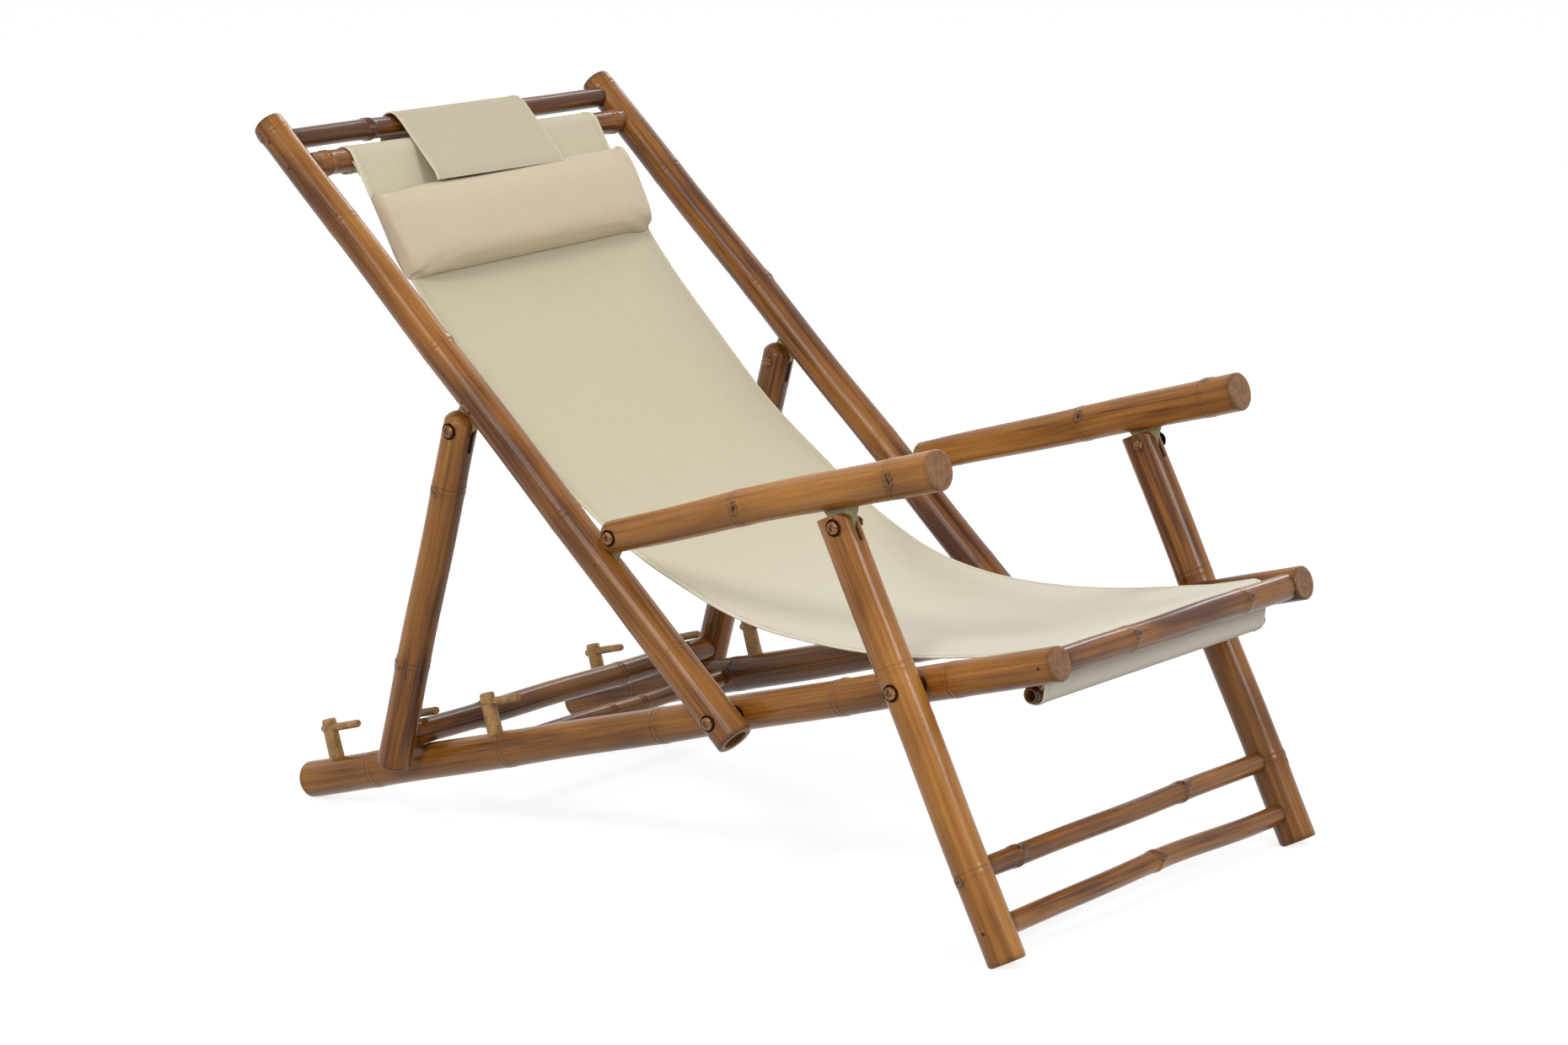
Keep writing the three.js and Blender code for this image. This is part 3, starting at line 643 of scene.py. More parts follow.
@dataclass(frozen=True)
class SawnEnd(Finish):
    """Bamboo sawn across: fibre bundles as dark dots in pale wood, browned by stain."""

    name: str = "sawn_bamboo_end"
    wood: str = "#96642F"
    bundle: str = "#4C2C14"
    bundle_mm: float = 1.3

    def sockets(self, tree: NodeTree) -> dict[str, object]:
        """Adds the finish's nodes and gives the shader's inputs.

        Args:
            tree: the material's tree.

        Returns:
            The shader's inputs by name.
        """
        culm = put(tree, "Attribute", attribute_name="culm")
        flat = put(
            tree, "VectorMath", [culm.outputs["Vector"], (1.0, 1.0, 0.05)], operation="MULTIPLY"
        )
        dots = put(tree, "TexVoronoi", {"Vector": flat, "Scale": 1 / self.bundle_mm})
        spots = put(
            tree, "ValToRGB", [dots.outputs["Distance"]],
            stops=[(0.22, self.bundle), (0.5, self.wood)]
        )
        clouds = put(tree, "TexNoise", {"Vector": flat, "Scale": 0.12, "Detail": 4.0})
        stain = put(tree, "ValToRGB", [clouds], stops=[(0.38, 0.55), (0.62, 1.0)])
        shade = put(
            tree, "MixRGB", {"Fac": 1.0, "Color1": spots, "Color2": stain}, blend_type="MULTIPLY"
        )
        bump = put(
            tree, "Bump", {"Strength": 0.6, "Distance": 0.0004, "Height": dots.outputs["Distance"]}
        )
        return {
            "Base Color": shade, "Roughness": 0.55, "Coat Weight": 0.25, "Coat Roughness": 0.3,
            "Normal": bump
        }


@dataclass(frozen=True)
class PlainWood(Finish):
    """Sawn and sanded wood with a thin coat: straight grain lines along one direction."""

    name: str
    base: str
    grain: str
    grain_mm: float = 1.4
    roughness: float = 0.5

    def sockets(self, tree: NodeTree) -> dict[str, object]:
        """Adds the finish's nodes and gives the shader's inputs.

        Args:
            tree: the material's tree.

        Returns:
            The shader's inputs by name.
        """
        place = put(tree, "TexCoord")
        per_metre = 1 / (self.grain_mm * MM)
        scaled = put(
            tree, "VectorMath",
            [place.outputs["Object"], (per_metre * 0.06, per_metre, per_metre)],
            operation="MULTIPLY"
        )
        lines = put(tree, "TexNoise", {"Vector": scaled, "Scale": 1.0, "Detail": 4.0})
        tint = put(tree, "ValToRGB", [lines], stops=[(0.35, self.grain), (0.6, self.base)])
        clouds = put(
            tree, "TexNoise", {"Vector": place.outputs["Object"], "Scale": 90.0, "Detail": 3.0}
        )
        dirt = put(tree, "ValToRGB", [clouds], stops=[(0.34, 0.6), (0.58, 1.0)])
        shade = put(
            tree, "MixRGB", {"Fac": 1.0, "Color1": tint, "Color2": dirt}, blend_type="MULTIPLY"
        )
        bump = put(tree, "Bump", {"Strength": 0.4, "Distance": 0.0002, "Height": lines})
        return {
            "Base Color": shade, "Roughness": self.roughness, "Coat Weight": 0.3,
            "Coat Roughness": 0.25, "Normal": bump
        }


@dataclass(frozen=True)
class CopperedSteel(Finish):
    """Cold headed steel with a thin copper wash, gone brown in the hollows."""

    name: str = "coppered_steel_bolt"
    bright: str = "#9A7350"
    brown: str = "#56392A"
    roughness: float = 0.45

    def sockets(self, tree: NodeTree) -> dict[str, object]:
        """Adds the finish's nodes and gives the shader's inputs.

        Args:
            tree: the material's tree.

        Returns:
            The shader's inputs by name.
        """
        place = put(tree, "TexCoord")
        spots = put(
            tree, "TexNoise", {"Vector": place.outputs["Object"], "Scale": 420.0, "Detail": 3.0}
        )
        tint = put(tree, "ValToRGB", [spots], stops=[(0.36, self.brown), (0.56, self.bright)])
        rough = put(tree, "MapRange", [spots, 0.3, 0.7, self.roughness + 0.2, self.roughness])
        bump = put(tree, "Bump", {"Strength": 0.3, "Distance": 0.0002, "Height": spots})
        return {"Base Color": tint, "Metallic": 1.0, "Roughness": rough, "Normal": bump}


@dataclass(frozen=True)
class CottonCanvas(Finish):
    """Cotton canvas, plain woven and undyed: matt, with slubs in both thread directions.

    The real threads are about 0.7 mm apart. They are drawn 1.5 mm apart so that they show.
    The hems carry a painted highlight and a painted shade line, and painted light pales the seat.
    """

    name: str
    base: str
    shadow: str
    # Paler colour that the seat's painted light mixes toward.
    painted_light_colour: str = "#ECE8DC"
    thread_mm: float = 1.5

    def sockets(self, tree: NodeTree) -> dict[str, object]:
        """Adds the finish's nodes and gives the shader's inputs.

        Args:
            tree: the material's tree.

        Returns:
            The shader's inputs by name.
        """
        cloth = put(tree, "Attribute", attribute_name="cloth")
        at = cloth.outputs["Vector"]
        phase = put(
            tree, "VectorMath", [at, (math.pi / self.thread_mm,) * 3], operation="MULTIPLY"
        )
        waves = put(tree, "VectorMath", [phase], operation="SINE")
        split = put(tree, "SeparateXYZ", [waves])
        weave = put(tree, "Math", [split.outputs["X"], split.outputs["Y"]], operation="MULTIPLY")
        height = put(tree, "Math", [weave], operation="ABSOLUTE")
        warp = self.slubs(tree, at, (0.7, 0.02, 1.0))
        weft = self.slubs(tree, at, (0.02, 0.7, 1.0))
        slub = put(tree, "Math", [warp, weft], operation="ADD")
        pale = put(tree, "MapRange", [slub, 0.7, 1.3, 0.0, 1.0])
        tint = put(tree, "MixRGB", {"Fac": pale, "Color1": self.shadow, "Color2": self.base})
        gaps = put(tree, "MapRange", [height, 0.0, 0.35, 0.93, 1.0])
        shade = put(
            tree, "MixRGB", {"Fac": 1.0, "Color1": tint, "Color2": gaps}, blend_type="MULTIPLY"
        )
        # Painted highlight and shade: the rolled edge of each hem is made lighter, and a darker
        # line is painted where the hem's double cloth steps down; further in the factor comes to
        # one.
        edge = put(tree, "Attribute", attribute_name="edge")
        share = put(tree, "MapRange", [edge.outputs["Fac"], 0.0, 20.0, 0.0, 1.0])
        hem = put(
            tree, "ValToRGB", [share],
            stops=[(0.0, 1.0), (0.1, 0.96), (0.17, 0.82), (0.57, 0.82), (0.63, 0.72), (0.7, 0.8)]
        )
        lift = put(tree, "Math", [hem, 1.25], operation="MULTIPLY")
        shade = put(
            tree, "MixRGB", {"Fac": 1.0, "Color1": shade, "Color2": lift}, blend_type="MULTIPLY"
        )
        # Painted light: the cloth is mixed toward a paler colour where it faces up into the lamps,
        # over the seat and the front hem.
        painted_light_amount = put(tree, "Attribute", attribute_name="bleach")
        shade = put(
            tree, "MixRGB", {"Fac": painted_light_amount.outputs["Fac"], "Color1": shade, "Color2": self.painted_light_colour}
        )
        relief = put(tree, "Math", [slub, 0.6, height], operation="MULTIPLY_ADD")
        bump = put(tree, "Bump", {"Strength": 0.35, "Distance": 0.0003, "Height": relief})
        return {
            "Base Color": shade, "Roughness": 0.92, "Specular IOR Level": 0.25,
            "Sheen Weight": 0.12, "Sheen Roughness": 0.5, "Normal": bump
        }

    @staticmethod
    def slubs(tree: NodeTree, at: NodeSocket, scale: tuple[float, float, float]) -> Node:
        """Uneven threads in one direction.

        Args:
            tree: the material's tree.
            at: the cloth's own coordinates in millimetres.
            scale: features in a millimetre, across, along and through the cloth.

        Returns:
            The noise node.
        """
        scaled = put(tree, "VectorMath", [at, scale], operation="MULTIPLY")
        return put(tree, "TexNoise", {"Vector": scaled, "Scale": 1.0, "Detail": 3.0})


@dataclass(frozen=True)
class SewingThread(Finish):
    """Twisted polyester sewing thread, a shade lighter than the canvas."""

    name: str = "twisted_sewing_thread"
    base: str = "#D8D0B8"
    shadow: str = "#B9AF92"

    def sockets(self, tree: NodeTree) -> dict[str, object]:
        """Adds the finish's nodes and gives the shader's inputs.

        Args:
            tree: the material's tree.

        Returns:
            The shader's inputs by name.
        """
        place = put(tree, "TexCoord")
        twist = put(
            tree, "TexNoise", {"Vector": place.outputs["Object"], "Scale": 900.0, "Detail": 1.0}
        )
        tint = put(tree, "MixRGB", {"Fac": twist, "Color1": self.shadow, "Color2": self.base})
        return {"Base Color": tint, "Roughness": 0.6}


class Finishes:
    """The finished materials, made once and shared by the pieces."""

    def __init__(self) -> None:
        """Builds every finish."""
        self.bamboo = VarnishedBamboo().material()
        self.sawn = SawnEnd().material()
        self.peg = PlainWood("sanded_peg_bamboo", "#C79A5C", "#8F6230", 1.0).material()
        self.plate = PlainWood("painted_plate_wood", "#B0A678", "#7D744A", 1.2).material()
        self.bolt = CopperedSteel().material()
        # Near black steel for the socket rings and the washers: painted shade of the recess round
        # each bolt head and of the gap each washer fills.
        self.ring = CopperedSteel("burnt_bolt_hole", "#3E2416", "#1C0F08", 0.6).material()
        self.nail = CopperedSteel("wire_nail_head", "#4A3A30", "#241A14", 0.45).material()
        self.sling = CottonCanvas("woven_sling_canvas", "#D2C9AE", "#CBC2A5").material()
        self.pillow = CottonCanvas("woven_pillow_canvas", "#D6C7AC", "#CFC0A4").material()
        self.strap = CottonCanvas("woven_strap_canvas", "#CABFA8", "#C1B79B").material()
        self.thread = SewingThread().material()


# --- bamboo culms ---


class End(Enum):
    """How a culm's end is finished."""

    FLAT = "sawn flat, its edge eased"
    BORE = "sawn flat and hollow"
    DOME = "rounded about a pivot"
    SADDLE = "hollowed to fit the round member it meets"


@dataclass(frozen=True)
class Saddle:
    """The round member that a bar's end fits against."""

    direction: Point
    radius: float
    plane: float

    def reach(self, off: Array) -> Array:
        """How far from the middle of the chair a bar's end meets the member.

        Args:
            off: side view offsets of points from the bar's axis.

        Returns:
            The distance of each point from the middle plane.
        """
        across = off @ np.array(rear(self.direction))
        inside = np.maximum(self.radius**2 - across**2, 0.0)
        return self.plane - np.sqrt(inside)


@dataclass
class Culm:
    """A bamboo culm on a straight line, with its nodes, bud scars and ends."""

    name: str
    start: Vector
    end: Vector
    radii: Point
    nodes: tuple[float, ...] = ()
    buds: tuple[float | None, ...] = ()
    across: Vector = field(default_factory=lambda: Vector((0, 1, 0)))
    ends: tuple[End, End] = (End.FLAT, End.FLAT)
    dome: float = 0.0
    saddle: Saddle | None = None
    tone: float = 0.0
    seed: int = 0
    sides: int = 64
    ridge: float = 0.5
    bend: Triple | None = None
    cutters: list[Object] = field(default_factory=list)

    BORE_SHARE = 0.62
    BORE_DEPTH = 28.0
    EDGE = ((2.6, 0.0), (1.6, 0.25), (0.8, 0.8), (0.25, 1.6), (0.0, 2.8))
    STEP = 5.0
    NODE_STEPS = (-24, -17, -12, -9, -7.4, -6, -5, -4.2, -3.4, -2.6, -1.8, -1, -0.2, 0.8)
    NODE_STEPS_ABOVE = (1.8, 2.8, 3.8, 4.8, 6, 7.4, 9, 12, 17, 24)

    def __post_init__(self) -> None:
        """Works out the culm's own directions and length."""
        span = self.end - self.start
        self.length = span.length
        self.axis = span.normalized()
        self.side = self.across.normalized()
        self.third = self.axis.cross(self.side).normalized()

    def base_radius(self, t: Array) -> Array:
        """Radius between the nodes at a station."""
        share = np.clip(t / self.length, 0, 1)
        return self.radii[0] + (self.radii[1] - self.radii[0]) * share

    def centre(self, t: Array) -> tuple[Array, Array]:
        """How far the culm strays from its straight axis at a station.

        Args:
            t: station of each point.

        Returns:
            The way off the axis in the side and the third direction.
        """
        hold = np.sin(np.pi * np.clip(t / self.length, 0, 1)) ** 0.5
        first = 0.55 * np.sin(TURN * t / 310 + self.seed) * hold
        second = 0.55 * np.sin(TURN * t / 270 + 2 * self.seed) * hold
        if self.bend:
            at, along_side, along_third = self.bend
            rise = np.where(t < at, t / at, (self.length - t) / (self.length - at))
            rise = np.clip(rise, 0, 1)
            rise = rise * rise * (3 - 2 * rise)
            first = first + along_side * rise
            second = second + along_third * rise
        return first, second

    def swelling(self, t: Array, turn: Array) -> Array:
        """Rise of the surface at the nodes and their bud scars.

        Args:
            t: station of each point.
            turn: turn of each point about the axis.

        Returns:
            Millimetres to add to the radius.
        """
        rise = np.zeros(np.broadcast(t, turn).shape)
        for number, node in enumerate(self.nodes):
            d = t - node
            uneven = 0.12 * np.sin(3 * turn + node) + 0.1 * np.sin(5 * turn + 2 * node)
            rise = rise + self.ridge * (
                (0.95 + uneven) * np.exp(-(((d - 2.4) / 3.4) ** 2))
                + (0.8 + uneven) * np.exp(-(((d + 4.2) / 1.5) ** 2))
                - 0.5 * np.exp(-(((d + 1.4) / 1.1) ** 2)) + 0.5 * np.exp(-((d / 16) ** 2))
            )
            bud = self.buds[number] if number < len(self.buds) else None
            if bud is None:
                continue
            gap = (turn - math.radians(bud) + math.pi) % TURN - math.pi
            arc = gap * 20.0
            reach = np.sqrt((arc / 8.0) ** 2 + ((d - 5.0) / 6.7) ** 2)
            rise = rise + 0.9 * np.exp(-(((reach - 0.85) / 0.3) ** 2))
            rise = rise + 0.5 * np.exp(-((reach / 1.2) ** 2)) - 0.5 * np.exp(-((reach / 0.4) ** 2))
        return rise

    def stations(self) -> list[float]:
        """Stations of the rings between the ends, close together at the nodes.

        Returns:
            The stations in order.
        """
        found = list(np.arange(self.STEP, self.length - self.STEP / 2, self.STEP))
        for node in self.nodes:
            found = [t for t in found if abs(t - node) > 26]
            found += [node + step for step in self.NODE_STEPS + self.NODE_STEPS_ABOVE]
        low = 4.0
        high = self.length - 4.0
        return sorted(t for t in found if low < t < high)

    def end_rings(self, end: End, radius: float) -> list[tuple[float, float, float, bool]]:
        """Rings of one end, from its middle out.

        Args:
            end: how it is finished.
            radius: the culm's radius there.

        Returns:
            For each ring its distance inwards, its share of the radius, the millimetres taken
            off it, and whether the face before it is sawn.
        """
        edge = [(t, 1.0, cut, t < 0.5) for cut, t in self.EDGE]
        if end is End.BORE:
            share = self.BORE_SHARE
            bore = [(self.BORE_DEPTH, share * 0.6, 0.0, True), (self.BORE_DEPTH, share, 0.0, True)]
            return [*bore, (1.2, share, 0.0, True), (0.0, share + 0.05, 0.0, True), *edge]
        if end is End.DOME:
            reach = self.dome
            widest = math.asin(min(radius / reach, 1.0))
            turns = [widest * i / 14 for i in range(1, 15)]
            return [
                (-reach * math.cos(a), reach * math.sin(a) / radius, 0.0, False) for a in turns
            ]
        if end is End.SADDLE:
            return [(0.0, 0.5, 0.0, True), (0.0, 0.93, 0.0, True), (1.2, 1.0, 0.0, False)]
        cap = [(0.35, 0.3, 0.0, True), (0.15, 0.6, 0.0, True), (0.0, 0.8, 0.0, True)]
        return [*cap, *edge]

    def build(self, finishes: Finishes) -> Object:
        """Makes the culm.

        Args:
            finishes: the chair's materials.

        Returns:
            The finished object.
        """
        first = self.end_rings(self.ends[0], self.radii[0])
        last = self.end_rings(self.ends[1], self.radii[1])
        rings = [ring[:3] for ring in first]
        rings += [(t, 1.0, 0.0) for t in self.stations()]
        rings += [(self.length - t, share, cut) for t, share, cut, _ in reversed(last)]
        t, share, cut = (np.array(column)[:, None] for column in zip(*rings))
        turn = (np.arange(self.sides) * TURN / self.sides)[None, :]
        oval = 1 + 0.008 * np.sin(2 * turn + self.seed)
        full = self.base_radius(t) * oval + self.swelling(t, turn) * (share >= 1.0)
        radius = full * share - cut
        drift = self.centre(t)
        u = radius * np.cos(turn) + drift[0]
        v = radius * np.sin(turn) + drift[1]
        along = np.broadcast_to(t, u.shape).copy()
        if self.saddle:
            along = self.fit_saddles(along, radius, turn)
        axes = np.array([self.side, self.third, self.axis])
        local = np.stack([u, v, along], axis=-1)
        points = local @ axes + np.array(self.start)
        flat = points.reshape(-1, 3)
        caps = np.array([points[0].mean(axis=0), points[-1].mean(axis=0)])
        count = len(rings)
        faces = rounds(count, self.sides, 0, (len(flat), len(flat) + 1))
        plain = [False] * (count + 1 - len(first) - len(last))
        sawn = [ring[3] for ring in first] + plain + [ring[3] for ring in reversed(last)]
        indices = [int(flag) for flag in sawn for _ in range(self.sides)]
        piece = mesh_object(
            self.name, np.vstack([flat, caps]), faces, [finishes.bamboo, finishes.sawn], indices
        )
        self.trim(piece)
        self.mark(piece)
        smooth(piece)
        return piece

    def fit_saddles(self, along: Array, radius: Array, turn: Array) -> Array:
        """Draws a bar's end rings out to the round members on both sides.

        Args:
            along: stations of the points.
            radius: their distances from the axis.
            turn: their turns about the axis.

        Returns:
            The new stations.
        """
        side = np.array([self.side.x, self.side.z])
        third = np.array([self.third.x, self.third.z])
        off = radius[..., None] * (
            np.cos(turn)[..., None] * side + np.sin(turn)[..., None] * third
        )
        stretch = self.saddle.reach(off) - self.length / 2
        fade = 26.0
        start_share = np.clip(1 - along / fade, 0, 1) ** 2
        end_share = np.clip(1 - (self.length - along) / fade, 0, 1) ** 2
        return along - stretch * start_share + stretch * end_share

    def trim(self, piece: Object) -> None:
        """Cuts the kerfs, the shaped heads and the feet out of the culm.

        Args:
            piece: the culm's object.
        """
        if not self.cutters:
            return
        for cutter in self.cutters:
            knife = piece.modifiers.new("cut", "BOOLEAN")
            knife.operation = "DIFFERENCE"
            knife.solver = "EXACT"
            knife.object = cutter
        apply_modifiers(piece)
        remove(*self.cutters)

    def mark(self, piece: Object) -> None:
        """Writes the attributes that the bamboo finish reads.

        The first holds the culm's own coordinates, the second the distance to the nearest node
        with the turn from its bud, and the third the stain's tone, the distance to an end and
        how strongly the nodes are stained.

        Args:
            piece: the culm's object.
        """
        away = places_of(piece) / MM - np.array(self.start)
        count = len(away)
        t = away @ np.array(self.axis)
        drift = self.centre(t)
        u = away @ np.array(self.side) - drift[0]
        v = away @ np.array(self.third) - drift[1]
        turn = np.arctan2(v, u)
        gap = np.full(count, 999.0)
        sine, cosine = np.zeros(count), np.full(count, -1.0)
        for number, node in enumerate(self.nodes):
            nearer = np.abs(t - node) < np.abs(gap)
            gap = np.where(nearer, t - node, gap)
            bud = self.buds[number] if number < len(self.buds) else None
            off = turn - math.radians(bud) if bud is not None else np.full(count, math.pi)
            sine = np.where(nearer, np.sin(off), sine)
            cosine = np.where(nearer, np.cos(off), cosine)
        low = -self.dome if self.ends[0] is End.DOME else 0.0
        to_end = np.minimum(t - low, self.length - t)
        own = np.stack([u, v, t + 977.0 * self.seed], axis=-1)
        joint = np.stack([gap, sine, cosine], axis=-1)
        stained = np.full(count, min(1.5 * self.ridge, 1.0))
        wear = np.stack([np.full(count, self.tone), to_end, stained], axis=-1)
        for name, values in (("culm", own), ("joint", joint), ("wear", wear)):
            write(piece, name, values)


# --- repeated pieces by Geometry Nodes ---


class Repeats:
    """Copies of a small piece, set by Geometry Nodes at points or along a line."""

    def __init__(self) -> None:
        """Builds the two trees."""
        self.at_points = self.points_tree()
        self.along_line = self.stitch_tree()

    @staticmethod
    def begin(name: str, sockets: dict[str, str]) -> tuple[NodeTree, Node]:
        """Makes a tree with named inputs that takes and gives a geometry.

        Args:
            name: the tree's name.
            sockets: the type of each further input by its name.

        Returns:
            The tree and its input node.
        """
        tree = bpy.data.node_groups.new(name, "GeometryNodeTree")
        for title, kind in ({"Geometry": "Geometry"} | sockets).items():
            tree.interface.new_socket(name=title, in_out="INPUT", socket_type=f"NodeSocket{kind}")
        tree.interface.new_socket(
            name="Geometry", in_out="OUTPUT", socket_type="NodeSocketGeometry"
        )
        return tree, put(tree, "NodeGroupInput")

    @staticmethod
    def end(tree: NodeTree, copies: Node, finish: NodeSocket) -> NodeTree:
        """Makes a tree's copies real, dresses them and hands them out.

        Args:
            tree: the tree.
            copies: the node that gives the copies.
            finish: their material.

        Returns:
            The tree.
        """
        real = put(tree, "GeometryNodeRealizeInstances", {"Geometry": copies})
        dressed = put(tree, "GeometryNodeSetMaterial", {"Geometry": real, "Material": finish})
        put(tree, "NodeGroupOutput", {"Geometry": dressed})
        return tree

    def points_tree(self) -> NodeTree:
        """A copy of a piece at each point, turned to face the point's own direction.

        Returns:
            The tree.
        """
        sockets = {"Piece": "Object", "Turn": "Float", "Finish": "Material"}
        tree, given = self.begin("copies_at_points", sockets)
        facing = put(
            tree, "GeometryNodeInputNamedAttribute", {"Name": "facing"}, data_type="FLOAT_VECTOR"
        )
        turned = put(tree, "FunctionNodeAlignRotationToVector", {"Vector": facing}, axis="Z")
        piece = put(tree, "GeometryNodeObjectInfo", {"Object": given.outputs["Piece"]})
        copies = put(
            tree, "GeometryNodeInstanceOnPoints",
            {
                "Points": given.outputs["Geometry"], "Instance": piece.outputs["Geometry"],
                "Rotation": turned
            }
        )
        chance = put(tree, "FunctionNodeRandomValue", {"Seed": 7}, data_type="FLOAT")
        spin = put(
            tree, "Math", [chance.outputs["Value"], given.outputs["Turn"]], operation="MULTIPLY"
        )
        about = put(tree, "CombineXYZ", {"Z": spin})
        spun = put(tree, "GeometryNodeRotateInstances", {"Instances": copies, "Rotation": about})
        return self.end(tree, spun, given.outputs["Finish"])

    def stitch_tree(self) -> NodeTree:
        """A rounded stitch at each step of a line.

        Returns:
            The tree.
        """
        sizes = dict.fromkeys(("Pitch", "Stitch Length", "Thread Radius"), "Float")
        tree, given = self.begin("stitches_along_a_line", sizes | {"Thread": "Material"})
        curve = put(tree, "GeometryNodeMeshToCurve", {"Mesh": given.outputs["Geometry"]})
        spaced = put(
            tree, "GeometryNodeResampleCurve", {"Curve": curve, "Length": given.outputs["Pitch"]},
            mode="LENGTH"
        )
        tangent = put(tree, "GeometryNodeInputTangent")
        turned = put(tree, "FunctionNodeAlignRotationToVector", {"Vector": tangent}, axis="Z")
        bead = put(tree, "GeometryNodeMeshUVSphere", {"Segments": 6, "Rings": 4, "Radius": 1.0})
        half = put(tree, "Math", [given.outputs["Stitch Length"], 0.5], operation="MULTIPLY")
        size = put(
            tree, "CombineXYZ",
            {"X": given.outputs["Thread Radius"], "Y": given.outputs["Thread Radius"], "Z": half}
        )
        copies = put(
            tree, "GeometryNodeInstanceOnPoints",
            {"Points": spaced, "Instance": bead, "Rotation": turned, "Scale": size}
        )
        return self.end(tree, copies, given.outputs["Thread"])

    @staticmethod
    def run(piece: Object, tree: NodeTree, values: dict[str, object]) -> Object:
        """Runs a tree on an object and keeps the result as its plain mesh.

        Args:
            piece: the object that holds the points or the line.
            tree: the tree to run.
            values: the tree's inputs by name.

        Returns:
            The same object with the result.
        """
        modifier = piece.modifiers.new(tree.name, "NODES")
        modifier.node_group = tree
        for item in tree.interface.items_tree:
            if item.in_out == "INPUT" and item.name in values:
                modifier[item.identifier] = values[item.name]
        apply_modifiers(piece)
        return piece

    def copies(
        self, name: str, source: Object, places: list[tuple[Vector, Vector]], finish: Material,
        turn: float = 0.0
    ) -> Object:
        """Copies of a source piece.

        Args:
            name: the new piece's name.
            source: the piece to copy, built about the origin along Z.
            places: point and facing direction of each copy, in millimetres.
            finish: the material of all copies.
            turn: how far a copy may turn about its own axis, in radians.

        Returns:
            One object with all copies.
        """
        points = np.array([place for place, _ in places])
        made = mesh_object(name, points, [], [finish])
        write(made, "facing", np.array([way for _, way in places]))
        values = {"Piece": source, "Turn": turn, "Finish": finish}
        self.run(made, self.at_points, values)
        smooth(made)
        return made

    def stitches(
        self, name: str, lines: list[Array], thread: Material, pitch: float = 4.2,
        length: float = 3.0, radius: float = 0.42
    ) -> Object:
        """Rows of stitches.

        Args:
            name: the new piece's name.
            lines: points of each row, in millimetres.
            thread: the thread's material.
            pitch: millimetres from stitch to stitch.
            length: a stitch's length.
            radius: the thread's radius.

        Returns:
            One object with all rows.
        """
        points = np.vstack(lines)
        mesh = bpy.data.meshes.new(name)
        edges: list[tuple[int, int]] = []
        begin = 0
        for line in lines:
            edges += [(begin + i, begin + i + 1) for i in range(len(line) - 1)]
            begin += len(line)
        mesh.from_pydata((points * MM).tolist(), edges, [])
        made = bpy.data.objects.new(name, mesh)
        bpy.context.scene.collection.objects.link(made)
        values = {
            "Pitch": pitch * MM, "Stitch Length": length * MM, "Thread Radius": radius * MM,
            "Thread": thread
        }
        self.run(made, self.along_line, values)
        made.data.shade_smooth()
        return made


def lathe(
    name: str, profile: list[Point], sides: int, materials: list[Material], flats: int = 0
) -> Object:
    """A turned piece about Z, closed on its axis.

    Args:
        name: the object's name.
        profile: radius and height pairs, the first and last on the axis.
        sides: number of facets round.
        materials: its material slots.
        flats: number of wrench flats, or 0 for a round piece.

    Returns:
        The piece.
    """
    points: list[list[float]] = [[0.0, 0.0, profile[0][1]]]
    for radius, height in profile[1:-1]:
        for j in range(sides):
            turn = TURN * j / sides
            out = radius
            if flats:
                half = math.pi / flats
                out = min(radius, profile_flat(radius, turn, half))
            points.append([out * math.cos(turn), out * math.sin(turn), height])
    points.append([0.0, 0.0, profile[-1][1]])
    faces = rounds(len(profile) - 2, sides, 1, (0, len(points) - 1))
    return mesh_object(name, np.array(points), faces, materials)


def profile_flat(radius: float, turn: float, half: float) -> float:
    """Distance to a wrench flat in the direction of a turn."""
    off = (turn + half) % (2 * half) - half
    return radius * math.cos(half) / math.cos(off)


# --- the frame of the chair ---


@dataclass
class Cutters:
    """The shapes that are cut out of the members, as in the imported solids."""

    finishes: Finishes

    def floor(self, name: str) -> Object:
        """Everything below the floor."""
        outline = [(-700.0, -200.0), (700.0, -200.0), (700.0, 0.0), (-700.0, 0.0)]
        return slab(name, outline, 0.0, 900.0, self.slots, 1)

    @property
    def slots(self) -> list[Material]:
        """Material slots that match a culm's."""
        return [self.finishes.bamboo, self.finishes.sawn]

    def kerf(self, name: str, pivot: Point, direction: Point, y: float) -> Object:
        """The saw kerf that a link plate works in.

        Args:
            name: the cutter's name.
            pivot: the pivot that the kerf is made for.
            direction: the way from the culm's end inwards.
            y: the kerf's plane.

        Returns:
            The cutter.
        """
        near = plus(pivot, direction, -120.0)
        far = plus(pivot, direction, KERF_DEPTH)
        side = rear(direction)
        wide = 60.0
        outline = [
            plus(near, side, -wide), plus(far, side, -wide), plus(far, side, wide),
            plus(near, side, wide)
        ]
        return slab(name, outline, y, KERF_WIDTH, self.slots, 1)

    def leg_head(self, name: str, y: float) -> Object:
        """What is taken off a leg's head so that it clears the armrest.

        Args:
            name: the cutter's name.
            y: the leg's plane.

        Returns:
            The cutter.
        """
        reach, slope, steps = 13.6, 8.0, 18
        start = PLAN.arm_angle + slope + 90
        end = angle_of(PLAN.leg) + 90
        link = PLAN.leg_link
        back = plus(link, unit(start), reach)
        outline = [plus(back, unit(start + 90), PLAN.leg_top)]
        for i in range(steps + 1):
            outline.append(plus(link, unit(start + (end - start) * i / steps), reach))
        front = outline[-1]
        outline.append(plus(front, PLAN.leg, PLAN.leg_radius))
        outline.append(plus(plus(front, PLAN.leg, PLAN.leg_radius), unit(end), PLAN.leg_top))
        outline.append(plus(plus(front, PLAN.leg, -PLAN.leg_top), unit(end), PLAN.leg_top))
        outline.append(plus(plus(back, PLAN.arm, -PLAN.leg_top), rear(PLAN.arm), PLAN.leg_top))
        return slab(name, outline, y, PLAN.leg_radius * 4, self.slots, 1)


